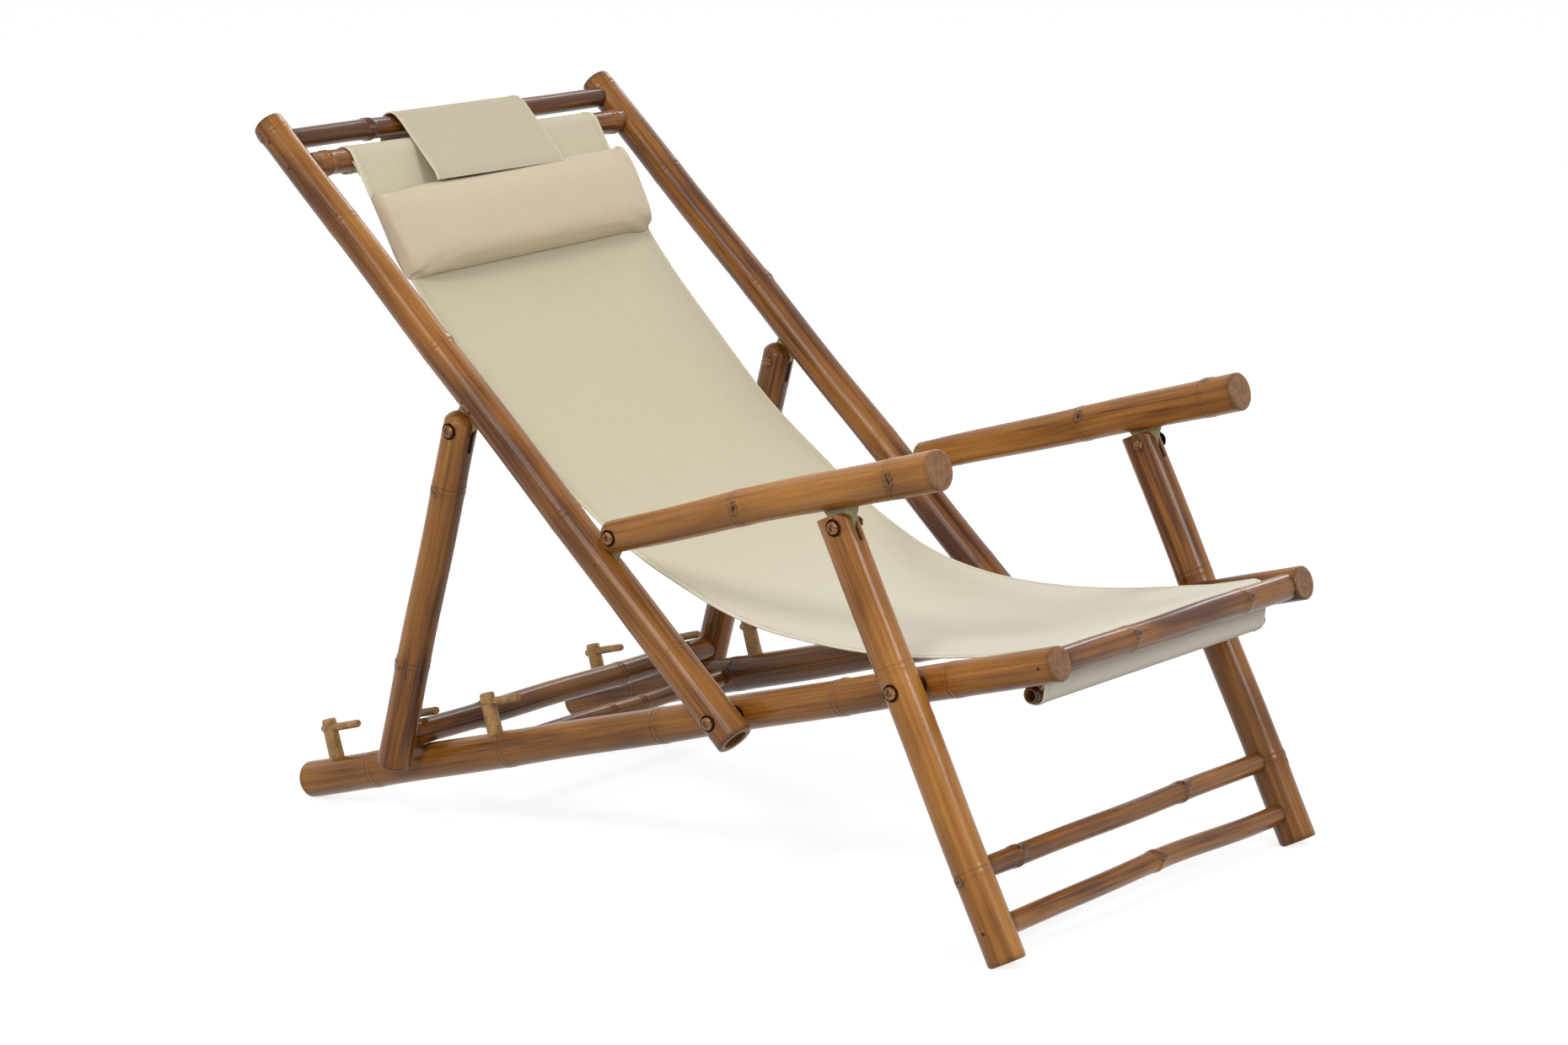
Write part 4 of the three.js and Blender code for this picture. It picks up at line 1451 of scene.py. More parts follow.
@dataclass
class LinkPlates:
    """The wooden plates that join poles to armrests and props, and armrests to legs."""

    finishes: Finishes
    tip_radius: float = 12.5
    root_half: float = 21.0
    root_depth: float = 15.0
    leg_tip_radius: float = 13.0
    leg_root_half: float = 29.0
    leg_root_below: float = 9.5

    @staticmethod
    def outline(pivot: Point, root: Point, half: float, tip: float) -> list[Point]:
        """A plate's outline: a straight root, waisted sides and a round tip.

        Args:
            pivot: centre of the tip.
            root: middle of the root edge.
            half: half the root's width.
            tip: the tip's radius.

        Returns:
            Corners in order.
        """
        out = toward(root, pivot)
        side = rear(out)
        corners = [plus(root, side, -half)]
        steps = 20
        for i in range(steps + 1):
            turn = -math.pi / 2 + math.pi * i / steps
            corners.append(
                plus(plus(pivot, out, tip * math.cos(turn)), side, tip * math.sin(turn))
            )
        corners.append(plus(root, side, half))
        return corners

    def plate(self, name: str, outline: list[Point], y: float, body: str, node: str) -> None:
        """Makes one plate with eased edges and hands it over.

        Args:
            name: the piece's name.
            outline: its corners in order.
            y: its plane.
            body: the body that it rides on.
            node: the CAD node that it replaces.
        """
        piece = slab(name, outline, y, PLATE_THICKNESS, [self.finishes.plate])
        ease = piece.modifiers.new("eased_edges", "BEVEL")
        ease.width = 0.7 * MM
        ease.segments = 2
        ease.limit_method = "ANGLE"
        ease.angle_limit = math.radians(40)
        apply_modifiers(piece)
        smooth(piece, 50)
        hand_over(piece, body, "link_plate_wood", node)

    def build(self) -> None:
        """Makes the six plates."""
        arm_station, prop_station = PLAN.arm_pivot_at[0], PLAN.prop_pivot_at[0]
        arm_seat = PLAN.pole_radius(arm_station) - self.root_depth
        prop_seat = PLAN.pole_radius(prop_station) - self.root_depth
        arm_root = PLAN.on_pole(arm_station, -arm_seat)
        prop_root = PLAN.on_pole(prop_station, prop_seat)
        leg_root = plus(PLAN.leg_link, rear(PLAN.arm), -PLAN.leg_link_at[1] - self.leg_root_below)
        arm_outline = self.outline(PLAN.arm_pivot, arm_root, self.root_half, self.tip_radius)
        prop_outline = self.outline(PLAN.prop_pivot, prop_root, self.root_half, self.tip_radius)
        leg_outline = self.outline(
            PLAN.leg_link, leg_root, self.leg_root_half, self.leg_tip_radius
        )
        for side in SIDES:
            y = side.sign * PLAN.pole_plane
            at = side.name
            self.plate(
                f"armrest_plate_{at}", arm_outline, y, "backrest", f"armrest_link_plate_{at}"
            )
            self.plate(f"prop_plate_{at}", prop_outline, y, "backrest", f"prop_link_plate_{at}")
            self.plate(f"leg_plate_{at}", leg_outline, y, f"armrest_{at}", f"leg_link_plate_{at}")


@dataclass
class Members:
    """The culms of the chair's sides: rails, poles, legs, armrests and prop legs."""

    finishes: Finishes
    cutters: Cutters
    rail_nodes: dict[str, tuple[float, ...]] = field(
        default_factory=lambda: {
            "left": (118, 287, 575, 838, 1010), "right": (118, 338, 581, 849, 1010)
        }
    )
    arm_nodes: dict[str, tuple[float, ...]] = field(
        default_factory=lambda: {"left": (239, 420), "right": (186, 406)}
    )

    def build(self) -> None:
        """Makes the members of both sides."""
        for side in SIDES:
            self.rail(side)
            self.pole(side)
            self.leg(side)
            self.armrest(side)
            self.prop(side)

    def finish(self, culm: Culm, body: str, node: str) -> None:
        """Builds a culm and hands it over."""
        hand_over(culm.build(self.finishes), body, "bamboo_culm", node)

    def rail(self, side: Side) -> None:
        """A seat rail, hollow at its rear end and sawn flat at its front end.

        Args:
            side: the side of the chair.
        """
        y = side.sign * PLAN.rail_plane
        culm = Culm(
            f"seat_rail_{side.name}", in_space(PLAN.rail_rear, y), in_space(PLAN.rail_front, y),
            PLAN.rail_radii, self.rail_nodes[side.name],
            (None, side.pick(139, None), None, 60, None), ends=(End.BORE, End.FLAT),
            tone=side.pick(0.14, 0.0), seed=3 + side.sign,
            cutters=[self.cutters.floor("floor_cut")]
        )
        self.finish(culm, "seat_frame", f"rail_{side.name}")

    def pole(self, side: Side) -> None:
        """A backrest pole, hollow at its tail.

        Args:
            side: the side of the chair.
        """
        y = side.sign * PLAN.pole_plane
        culm = Culm(
            f"back_pole_{side.name}", in_space(PLAN.on_pole(-PLAN.pole_tail), y),
            in_space(PLAN.on_pole(PLAN.pole_top), y), PLAN.pole_radii,
            tuple(t + PLAN.pole_tail for t in (95, 300, 560, 760, 905)),
            (None, None, -40, None, 150), ends=(End.BORE, End.FLAT), tone=side.pick(0.14, 0.05),
            seed=7 + side.sign, ridge=0.3
        )
        self.finish(culm, "backrest", f"backrest_pole_{side.name}")

    def leg(self, side: Side) -> None:
        """A front leg, kerfed and rounded at its head and sawn square at its foot.

        Args:
            side: the side of the chair.
        """
        y = side.sign * PLAN.pole_plane
        culm = Culm(
            f"leg_{side.name}", in_space(PLAN.on_leg(-PLAN.leg_top), y),
            in_space(plus(PLAN.leg_foot, PLAN.leg, -PLAN.leg_foot_trim), y),
            (PLAN.leg_radius, PLAN.leg_radius), (190, 426), (None, side.pick(60, -165)),
            tone=side.pick(0.12, -0.06), seed=11 + side.sign, ridge=0.3,
            cutters=[
                self.cutters.leg_head("head_cut", y),
                self.cutters.kerf("kerf_cut", PLAN.leg_link, PLAN.leg, y),
                self.cutters.floor("floor_cut")
            ]
        )
        self.finish(culm, "front_legs", f"front_leg_{side.name}")

    def armrest(self, side: Side) -> None:
        """An armrest, rounded and kerfed at its rear end.

        Args:
            side: the side of the chair.
        """
        y = side.sign * PLAN.pole_plane
        start = PLAN.arm_pivot
        culm = Culm(
            f"arm_{side.name}", in_space(start, y),
            in_space(plus(start, PLAN.arm, PLAN.arm_front), y), (19.0, 23.0),
            self.arm_nodes[side.name], side.pick((151.7, 100), (176.6, -178.3)),
            ends=(End.DOME, End.FLAT), dome=21.4, tone=side.pick(-0.05, -0.12),
            seed=15 + side.sign, bend=side.pick(None, (240.0, 0.0, 3.0)),
            cutters=[self.cutters.kerf("kerf_cut", start, PLAN.arm, y)]
        )
        self.finish(culm, f"armrest_{side.name}", f"armrest_{side.name}")

    def prop(self, side: Side) -> None:
        """A prop leg, rounded and kerfed at its head and hollow at its foot.

        Args:
            side: the side of the chair.
        """
        y = side.sign * PLAN.pole_plane
        start = PLAN.prop_pivot
        culm = Culm(
            f"prop_{side.name}", in_space(start, y),
            in_space(plus(start, PLAN.prop, PLAN.prop_length), y),
            (PLAN.prop_radius, PLAN.prop_radius), (73, 299),
            side.pick((120, None), (-168.7, -147.9)), ends=(End.DOME, End.BORE), dome=22.5,
            tone=side.pick(0.14, 0.04), seed=19 + side.sign,
            cutters=[self.cutters.kerf("kerf_cut", start, PLAN.prop, y)]
        )
        self.finish(culm, "prop", f"prop_leg_{side.name}")


@dataclass(frozen=True)
class Bar:
    """One round bar across the chair."""

    name: str
    node: str
    body: str
    at: Point
    saddle: Saddle
    radius: float
    node_shares: tuple[float, ...]
    buds: tuple[float | None, ...] = ()
    tone: float = 0.1
    ridge: float = 0.6
    bend: Triple | None = None


@dataclass
class Bars:
    """The bars across the chair and the rod in the sling's front hem."""

    finishes: Finishes
    rod_half: float = 233.0
    front_station: float = 1115.0
    rear_station: float = 273.0

    def listed(self) -> list[Bar]:
        """The bars with the members that they fit against.

        Returns:
            The bars in the order that they are built.
        """
        front_radius, rear_radius = (
            PLAN.rail_radius(t) + CLEARANCE for t in (self.front_station, self.rear_station)
        )
        rail_front = Saddle(PLAN.rail, front_radius, PLAN.rail_plane)
        rail_rear = Saddle(PLAN.rail, rear_radius, PLAN.rail_plane)
        pole = Saddle(PLAN.pole, PLAN.pole_radius(870) + CLEARANCE, PLAN.pole_plane)
        leg = Saddle(PLAN.leg, PLAN.leg_radius + CLEARANCE, PLAN.pole_plane)
        prop = Saddle(PLAN.prop, PLAN.prop_radius + CLEARANCE, PLAN.pole_plane)
        return [
            Bar(
                "bar_front", "front_bar", "seat_frame", PLAN.on_rail(PLAN.front_bar_station),
                rail_front, 15, (-0.405, 0.529), (-32, -29), 0.18, 0.5
            ),
            Bar(
                "bar_front_inner", "front_inner_bar", "seat_frame",
                PLAN.on_rail(PLAN.inner_bar_station), rail_front, INNER_BAR_RADIUS, ()
            ),
            Bar(
                "stretcher_rear", "rear_stretcher", "seat_frame", PLAN.on_rail(self.rear_station),
                rail_rear, 10.5, (0.043, 0.272), tone=0.12
            ),
            Bar(
                "bar_head", "head_bar", "backrest", PLAN.on_pole(PLAN.head_bar_station), pole,
                HEAD_BAR_RADIUS, (-0.506, 0.361), (None, -60), 0.25, 1.3
            ),
            Bar(
                "bar_sling", "sling_bar", "backrest", PLAN.on_pole(PLAN.sling_bar_station), pole,
                SLING_BAR_RADIUS, (-0.8625, 0.894), tone=0.14, ridge=0.9
            ),
            Bar(
                "stretcher_upper", "leg_stretcher_upper", "front_legs",
                PLAN.on_leg(PLAN.upper_station), leg, 12, (-0.74, 0.367), (-50, -49), 0.12, 0.8
            ),
            Bar(
                "stretcher_lower", "leg_stretcher_lower", "front_legs",
                PLAN.on_leg(PLAN.lower_station), leg, 12, (0.04,), (-28,), 0.1, 0.9,
                (290, 0.0, -4.5)
            ),
            Bar(
                "bar_prop", "prop_bar", "prop", PLAN.prop_bar, prop, 15, (-0.508, 0.358),
                (90, None), 0.12
            )
        ]

    def build(self) -> None:
        """Makes the bars and the rod."""
        for number, bar in enumerate(self.listed()):
            half = bar.saddle.plane - bar.saddle.radius
            culm = Culm(
                bar.name, in_space(bar.at, -half), in_space(bar.at, half),
                (bar.radius, bar.radius),
                tuple(half + share * bar.saddle.plane for share in bar.node_shares), bar.buds,
                across=Vector((1, 0, 0)), ends=(End.SADDLE, End.SADDLE), saddle=bar.saddle,
                tone=bar.tone, seed=30 + number, sides=48, ridge=bar.ridge, bend=bar.bend
            )
            hand_over(culm.build(self.finishes), bar.body, "bamboo_culm", bar.node)
        at = PLAN.on_rail(*PLAN.hem_rod_at)
        rod = Culm(
            "rod_front", in_space(at, -self.rod_half), in_space(at, self.rod_half),
            (HEM_ROD_RADIUS, HEM_ROD_RADIUS), across=Vector((1, 0, 0)), ends=(End.BORE, End.BORE),
            tone=0.35, seed=50, sides=40
        )
        hand_over(rod.build(self.finishes), "seat_frame", "bamboo_culm", "hem_rod_front")


@dataclass
class Pegs:
    """The posts on the rails, each with a rod through it, that hold the prop's bar."""

    finishes: Finishes
    repeats: Repeats
    stations: tuple[float, ...] = (51.5, 185.6, 320.0)
    post_radius: float = 9.5
    post_top: float = 70.0
    post_foot: float = 17.0
    hook_height: float = 59.0
    hook_radius: float = 5.0
    hook_rear: float = 13.0
    hook_front: float = 49.0

    def build(self) -> None:
        """Makes the posts and the hooks of both rails."""
        up = Vector((rear(PLAN.rail)[0], 0, rear(PLAN.rail)[1]))
        forward = Vector((PLAN.rail[0], 0, PLAN.rail[1]))
        post = Culm(
            "post_source", Vector((0, 0, 0)), Vector((0, 0, self.post_top - self.post_foot)),
            (self.post_radius, self.post_radius * 0.94), (), tone=-0.2, seed=60, sides=28
        ).build(self.finishes)
        hook = Culm(
            "hook_source", Vector((0, 0, 0)), Vector((0, 0, self.hook_rear + self.hook_front)),
            (self.hook_radius, self.hook_radius * 0.95), (), tone=-0.2, seed=61, sides=20,
            ends=(End.FLAT, End.FLAT)
        ).build(self.finishes)
        posts, hooks = [], []
        for side in SIDES:
            y = side.sign * PLAN.rail_plane
            for station in self.stations:
                posts.append((in_space(PLAN.on_rail(station, self.post_foot), y), up))
                at = PLAN.on_rail(station - self.hook_rear, self.hook_height)
                hooks.append((in_space(at, y), forward))
        names = [f"{s.name}_{n + 1}" for s in SIDES for n in range(len(self.stations))]
        for kind, source, places in (("post", post, posts), ("hook", hook, hooks)):
            piece = self.repeats.copies(f"peg_{kind}s", source, places, self.finishes.peg, TURN)
            nodes = [f"peg_{kind}_{name}" for name in names]
            hand_over(piece, "seat_frame", "peg_bamboo", *nodes)
        remove(post, hook)


@dataclass
class Hardware:
    """Bolts with domed heads in socket rings painted dark as shade, nuts inside, washers and small
    nails.
    """

    finishes: Finishes
    repeats: Repeats
    shank_radius: float = 3.5
    head_height: float = 4.0
    nut_radius: float = 6.5
    nut_height: float = 3.0

    def head(self) -> Object:
        """A domed head with a rolled rim and a small punched hollow.

        Returns:
            The head, standing on the floor.
        """
        radius, height = BOLT_HEAD_RADIUS, self.head_height
        profile = [
            (0.0, -0.4), (radius * 0.97, -0.4), (radius, 0.4), (radius * 0.985, height * 0.4),
            (radius * 0.9, height * 0.66), (radius * 0.7, height * 0.86),
            (radius * 0.56, height * 0.94), (radius * 0.46, height * 0.9),
            (radius * 0.38, height * 0.4), (0.0, height * 0.32)
        ]
        return lathe("head_source", profile, 28, [self.finishes.bolt])

    def socket(self) -> Object:
        """The crushed ring round a head, near black as painted shade of the recess round it.

        Returns:
            The ring.
        """
        radius = BOLT_HEAD_RADIUS
        profile = [
            (0.0, -0.6), (radius * 1.3, -0.6), (radius * 1.32, 0.0), (radius * 1.24, 0.55),
            (radius * 1.1, 0.5), (radius * 1.02, 0.1), (0.0, 0.1)
        ]
        return lathe("socket_source", profile, 28, [self.finishes.ring])

    def nut(self) -> Object:
        """A chamfered hexagon nut with the shank's end standing through it.

        Returns:
            The nut.
        """
        radius, height = self.nut_radius, self.nut_height
        profile = [
            (0.0, 0.0), (radius, 0.0), (radius, height * 0.8), (radius * 0.9, height),
            (self.shank_radius * 1.05, height), (self.shank_radius, height + 0.05),
            (self.shank_radius, height + 0.9), (self.shank_radius * 0.8, height + 1.2),
            (0.0, height + 1.2)
        ]
        return lathe("nut_source", profile, 36, [self.finishes.bolt], flats=6)

    def shank(self, name: str, at: Point, low: float, high: float) -> Object:
        """The plain part of a bolt, between two planes across the chair.

        Args:
            name: the piece's name.
            at: its axis in the side view.
            low: the plane of one end.
            high: the plane of the other.

        Returns:
            The shank.
        """
        profile = [
            (0.0, 0.0), (self.shank_radius, 0.0), (self.shank_radius, high - low),
            (0.0, high - low)
        ]
        rod = lathe(name, profile, 20, [self.finishes.bolt])
        turn = Matrix.Rotation(math.pi / 2, 4, "X")
        place = Matrix.Translation(in_space(at, high) * MM)
        rod.data.transform(place @ turn)
        smooth(rod)
        return rod

    def build(self) -> None:
        """Makes the bolts of every body, the washers and the nails."""
        sources = {"heads": self.head(), "sockets": self.socket(), "nuts": self.nut()}
        plain = {
            "heads": self.finishes.bolt, "sockets": self.finishes.ring, "nuts": self.finishes.bolt
        }
        back_inner = PLAN.rail_plane - PLAN.rail_radius(PLAN.back_pivot_station) - CLEARANCE
        leg_inner = PLAN.rail_plane - PLAN.rail_radius(PLAN.leg_pivot_station) - CLEARANCE
        arm_half, prop_half = 19.3, 20.3
        plane = PLAN.pole_plane
        kinds = (
            ("back_pivot_bolt", "seat_frame", PLAN.back_pivot, plane + POLE_REACH, back_inner),
            ("leg_pivot_bolt", "seat_frame", PLAN.leg_pivot, plane + LEG_REACH, leg_inner),
            ("leg_link_bolt", "front_legs", PLAN.leg_link, plane + LEG_REACH, plane - LEG_REACH),
            ("armrest_bolt", "armrest", PLAN.arm_pivot, plane + arm_half, plane - arm_half),
            ("prop_bolt", "prop", PLAN.prop_pivot, plane + prop_half, plane - prop_half)
        )
        for kind, body, at, outer, inner in kinds:
            groups = [SIDES] if body != "armrest" else [(side,) for side in SIDES]
            for group in groups:
                tail = f"_{group[0].name}" if len(group) == 1 else ""
                name = f"{kind}s{tail}"
                owner = f"armrest{tail}" if body == "armrest" else body
                pieces = []
                for part, source in sources.items():
                    reach = inner if part == "nuts" else outer
                    way = -1 if part == "nuts" else 1
                    places = [
                        (in_space(at, s.sign * reach), Vector((0, way * s.sign, 0))) for s in group
                    ]
                    pieces.append(
                        self.repeats.copies(f"{name}_{part}", source, places, plain[part])
                    )
                for s in group:
                    low, high = sorted((s.sign * (outer - 0.2), s.sign * (inner + 0.2)))
                    pieces.append(self.shank(f"{name}_shank_{s.name}", at, low, high))
                nodes = [f"{kind}_{s.name}" for s in group]
                hand_over(pieces[0], owner, "bolt_steel", *nodes)
                for piece in pieces[1:]:
                    hand_over(piece, owner, "bolt_steel")
        remove(*sources.values())
        self.washers()
        self.nails()

    def washers(self) -> None:
        """Turned washers between the rails and the members outside them."""
        radius = 11.0
        rows = (
            ("back_pivot_washer", PLAN.back_pivot, PLAN.back_pivot_station, POLE_REACH),
            ("leg_pivot_washer", PLAN.leg_pivot, PLAN.leg_pivot_station, LEG_REACH)
        )
        for kind, at, station, member in rows:
            inner = PLAN.rail_plane + PLAN.rail_radius(station) + CLEARANCE
            outer = PLAN.pole_plane - member
            thick = outer - inner
            profile = [
                (0.0, 0.0), (radius * 0.96, 0.0), (radius, thick * 0.25), (radius, thick * 0.75),
                (radius * 0.96, thick), (0.0, thick)
            ]
            # The washers take the near black steel too, as painted shade in the gap between rail
            # and member.
            source = lathe("washer_source", profile, 32, [self.finishes.ring])
            places = [(in_space(at, s.sign * inner), Vector((0, s.sign, 0))) for s in SIDES]
            piece = self.repeats.copies(f"{kind}s", source, places, self.finishes.ring)
            hand_over(piece, "seat_frame", "bolt_steel", *[f"{kind}_{s.name}" for s in SIDES])
            remove(source)

    def nails(self) -> None:
        """Small nails that pin the bars and the plates to the members."""
        profile = [(0.0, -1.0), (1.9, -1.0), (2.0, 0.2), (1.3, 0.7), (0.0, 0.8)]
        source = lathe("nail_source", profile, 14, [self.finishes.nail])
        rows = {
            "seat_frame": [
                (
                    PLAN.on_rail(PLAN.front_bar_station), PLAN.rail_plane,
                    PLAN.rail_radius(PLAN.front_bar_station)
                )
            ],
            "backrest": [
                (
                    PLAN.on_pole(PLAN.head_bar_station), PLAN.pole_plane,
                    PLAN.pole_radius(PLAN.head_bar_station)
                ),
                (
                    PLAN.on_pole(PLAN.sling_bar_station), PLAN.pole_plane,
                    PLAN.pole_radius(PLAN.sling_bar_station)
                ),
                (PLAN.on_pole(228, -6), PLAN.pole_plane, PLAN.pole_radius(228) - 1.0),
                (PLAN.on_pole(470, 5), PLAN.pole_plane, PLAN.pole_radius(470) - 0.8),
                (PLAN.on_pole(486, 4), PLAN.pole_plane, PLAN.pole_radius(486) - 0.8)
            ],
            "front_legs": [
                (PLAN.on_leg(PLAN.upper_station), PLAN.pole_plane, PLAN.leg_radius),
                (PLAN.on_leg(PLAN.lower_station), PLAN.pole_plane, PLAN.leg_radius)
            ]
        }
        for body, spots in rows.items():
            places = []
            for side in SIDES:
                for at, plane, radius in spots:
                    place = in_space(at, side.sign * (plane + radius))
                    places.append((place, Vector((0, side.sign, 0))))
            piece = self.repeats.copies(f"nails_{body}", source, places, self.finishes.nail)
            hand_over(piece, body, "bolt_steel")
        remove(source)


# --- cloth ---


def tangent_angle(
    start: Point, end: Point, start_radius: float, end_radius: float, side: int
) -> float:
    """The angle of the outer tangent's normal between two round bars."""
    lean = math.degrees(math.acos((start_radius - end_radius) / distance(start, end)))
    return angle_of(toward(start, end)) + side * lean


def wrap(centre: Point, radius: float, start: float, end: float) -> list[Point]:
    """Points of an arc about a bar.

    Args:
        centre: the bar's axis.
        radius: the arc's radius.
        start: its first angle in degrees.
        end: its last angle.

    Returns:
        The points in order.
    """
    steps = max(4, int(abs(end - start) / 8))
    return [
        plus(centre, unit(start + (end - start) * i / steps), radius) for i in range(steps + 1)
    ]


def turn_down(angle: float, below: float) -> float:
    """The same angle, whole turns lower, just below another."""
    return angle - 360 * math.ceil((angle - below) / 360)


def resample(line: list[Point], step: float) -> Array:
    """Points at even steps along a line.

    Args:
        line: the line's points.
        step: the distance wanted.

    Returns:
        One row for each point.
    """
    points = np.array(line)
    lengths = np.concatenate([[0], np.cumsum(np.hypot(*np.diff(points, axis=0).T))])
    count = int(lengths[-1] / step)
    at = np.linspace(0, lengths[-1], count + 1)
    return np.stack([np.interp(at, lengths, points[:, k]) for k in (0, 1)], axis=-1)


def catmull(points: list[Point], steps: int) -> list[Point]:
    """A smooth line through points.

    Args:
        points: the points.
        steps: steps from one to the next.

    Returns:
        The finer line.
    """
    found: list[Point] = []
    padded = [points[0], *points, points[-1]]
    for i in range(1, len(padded) - 2):
        a, b, c, d = (np.array(padded[i + k]) for k in (-1, 0, 1, 2))
        for k in range(steps):
            t = k / steps
            value = 0.5 * (
                2 * b + (c - a) * t + (2 * a - 5 * b + 4 * c - d) * t**2
                + (3 * b - a - 3 * c + d) * t**3
            )
            found.append((float(value[0]), float(value[1])))
    found.append(points[-1])
    return found


@dataclass
class Strip:
    """A strip of cloth on a side view line, hemmed along both edges."""

    name: str
    line: Array
    half_width: float
    middle: float
    material: Material
    thickness: float = 1.1
    hem_width: float = 13.0
    hem_thickness: float = 2.0
    columns: int = 84

    def spread(self) -> Array:
        """Positions across the strip, closer together at the hems.

        Returns:
            Positions from -1 to 1.
        """
        edge = self.hem_width / self.half_width
        inner = np.linspace(-1 + edge * 1.25, 1 - edge * 1.25, self.columns)
        rim = np.array([1.0, 0.9975, 0.99, 0.975, 1 - edge * 0.5, 1 - edge, 1 - edge * 1.08])
        return np.concatenate([-rim, inner, rim[::-1]])

    def half_thickness(self, v: Array) -> Array:
        """Half the cloth's thickness across the strip, double at the hems.

        Args:
            v: positions across, -1 to 1.

        Returns:
            Half the thickness at each.
        """
        away = (1 - np.abs(v)) * self.half_width
        full = np.where(away < self.hem_width, self.hem_thickness, self.thickness) / 2
        rounding = np.clip(away / 0.9, 0.0, 1.0)
        return full * np.sqrt(1 - (1 - rounding) ** 2 * 0.92)

    def surface(self) -> tuple[Array, Array, Array, Array]:
        """The strip's middle surface.

        Returns:
            Points, normals, lengths along the strip, and positions across it.
        """
        lengths = np.concatenate([[0], np.cumsum(np.hypot(*np.diff(self.line, axis=0).T))])
        along = np.gradient(self.line, axis=0)
        along /= np.linalg.norm(along, axis=1)[:, None]
        normal = np.stack([-along[:, 1], along[:, 0]], axis=-1)
        v = self.spread()
        rise = self.rise(lengths, v)
        x = self.line[:, 0:1] + normal[:, 0:1] * rise
        z = self.line[:, 1:2] + normal[:, 1:2] * rise
        y = self.middle + v[None, :] * self.half_width * self.draw(lengths, v)
        y = y + self.shift(lengths)
        points = np.stack([x, y, z], axis=-1)
        normals = np.stack(
            [
                np.broadcast_to(normal[:, 0:1], x.shape), np.zeros_like(x),
                np.broadcast_to(normal[:, 1:2], x.shape)
            ],
            axis=-1
        )
        return points, normals, lengths, v

    def rise(self, lengths: Array, v: Array) -> Array:
        """How far the cloth stands off its line; plain cloth lies on it."""
        return np.zeros((len(lengths), len(v)))

    def draw(self, lengths: Array, v: Array) -> Array:
        """The share of its cut width that the cloth keeps; plain cloth keeps all of it."""
        return np.ones((len(lengths), len(v)))

    def shift(self, lengths: Array) -> Array:
        """How far the cloth's middle strays across along it; plain cloth runs straight."""
        return np.zeros((len(lengths), 1))

    def bleach(self, lengths: Array) -> Array:
        """How much painted light pales the cloth along it; most cloth has none."""
        return np.zeros((len(lengths), 1))

    def build(self) -> Object:
        """Makes the strip as a closed thin sheet.

        Returns:
            The sheet.
        """
        points, normals, lengths, v = self.surface()
        half = self.half_thickness(v)[None, :, None]
        upper = points + normals * half
        lower = points - normals * half
        rows, cols = points.shape[:2]
        count = rows * cols
        every = np.vstack([upper.reshape(-1, 3), lower.reshape(-1, 3)])
        top = np.arange(count).reshape(rows, cols)
        under = top + count
        faces = quads(top[:-1, :-1], top[:-1, 1:], top[1:, 1:], top[1:, :-1])
        faces += quads(under[:-1, :-1], under[1:, :-1], under[1:, 1:], under[:-1, 1:])
        faces += quads(top[:-1, 0], top[1:, 0], under[1:, 0], under[:-1, 0])
        faces += quads(top[:-1, -1], under[:-1, -1], under[1:, -1], top[1:, -1])
        faces += quads(top[0, 1:], top[0, :-1], under[0, :-1], under[0, 1:])
        faces += quads(top[-1, :-1], top[-1, 1:], under[-1, 1:], under[-1, :-1])
        piece = mesh_object(self.name, every, faces, [self.material])
        across = np.broadcast_to(v[None, :] * self.half_width, (rows, cols))
        down = np.broadcast_to(lengths[:, None], (rows, cols))
        one = np.stack([across, down, np.zeros((rows, cols))], axis=-1).reshape(-1, 3)
        two = one + np.array([0.0, 0.0, 3.0])
        write(piece, "cloth", np.vstack([one, two]))
        inside = np.broadcast_to((1 - np.abs(v))[None, :] * self.half_width, (rows, cols))
        write(piece, "edge", np.tile(inside.ravel(), 2))
        # The painted light's share on each row.
        painted_light_amount = np.broadcast_to(self.bleach(lengths), (rows, cols))
        write(piece, "bleach", np.tile(painted_light_amount.ravel(), 2))
        smooth(piece, 60)
        return piece

    def row(self, away: float, low: float, high: float, side: int, face: int) -> Array:
        """A line on the cloth at a distance inside one edge.

        Args:
            away: millimetres inside the edge.
            low: where the line starts, along the strip.
            high: where it ends.
            side: which edge, 1 or -1.
            face: 1 for the upper face and -1 for the lower.

        Returns:
            Points just above the cloth.
        """
        points, normals, lengths, v = self.surface()
        at = side * (1 - away / self.half_width)
        keep = (lengths >= low) & (lengths <= high)
        half = self.half_thickness(np.array([at]))[0]
        line = []
        for point, normal in zip(points[keep], normals[keep]):
            place = np.array([np.interp(at, v, point[:, k]) for k in range(3)])
            way = normal[len(v) // 2]
            line.append(place + way * face * (half + 0.1))
        return np.array(line)

    def rows(self, away: float, low: float, high: float) -> list[Array]:
        """The lines along both edges on both faces."""
        return [self.row(away, low, high, side, face) for side in (1, -1) for face in (1, -1)]

    def cross_row(self, at: float, face: int, margin: float = 4.0) -> Array:
        """A line across the cloth at a length along it, on one face.

        Args:
            at: millimetres along the strip.
            face: 1 for the upper face and -1 for the lower.
            margin: what is left free at both edges.

        Returns:
            Points just above the cloth.
        """
        points, normals, lengths, v = self.surface()
        i = int(np.argmin(np.abs(lengths - at)))
        keep = np.abs(v) * self.half_width <= self.half_width - margin
        half = self.half_thickness(v)[:, None]
        return (points[i] + normals[i] * face * (half + 0.1))[keep]


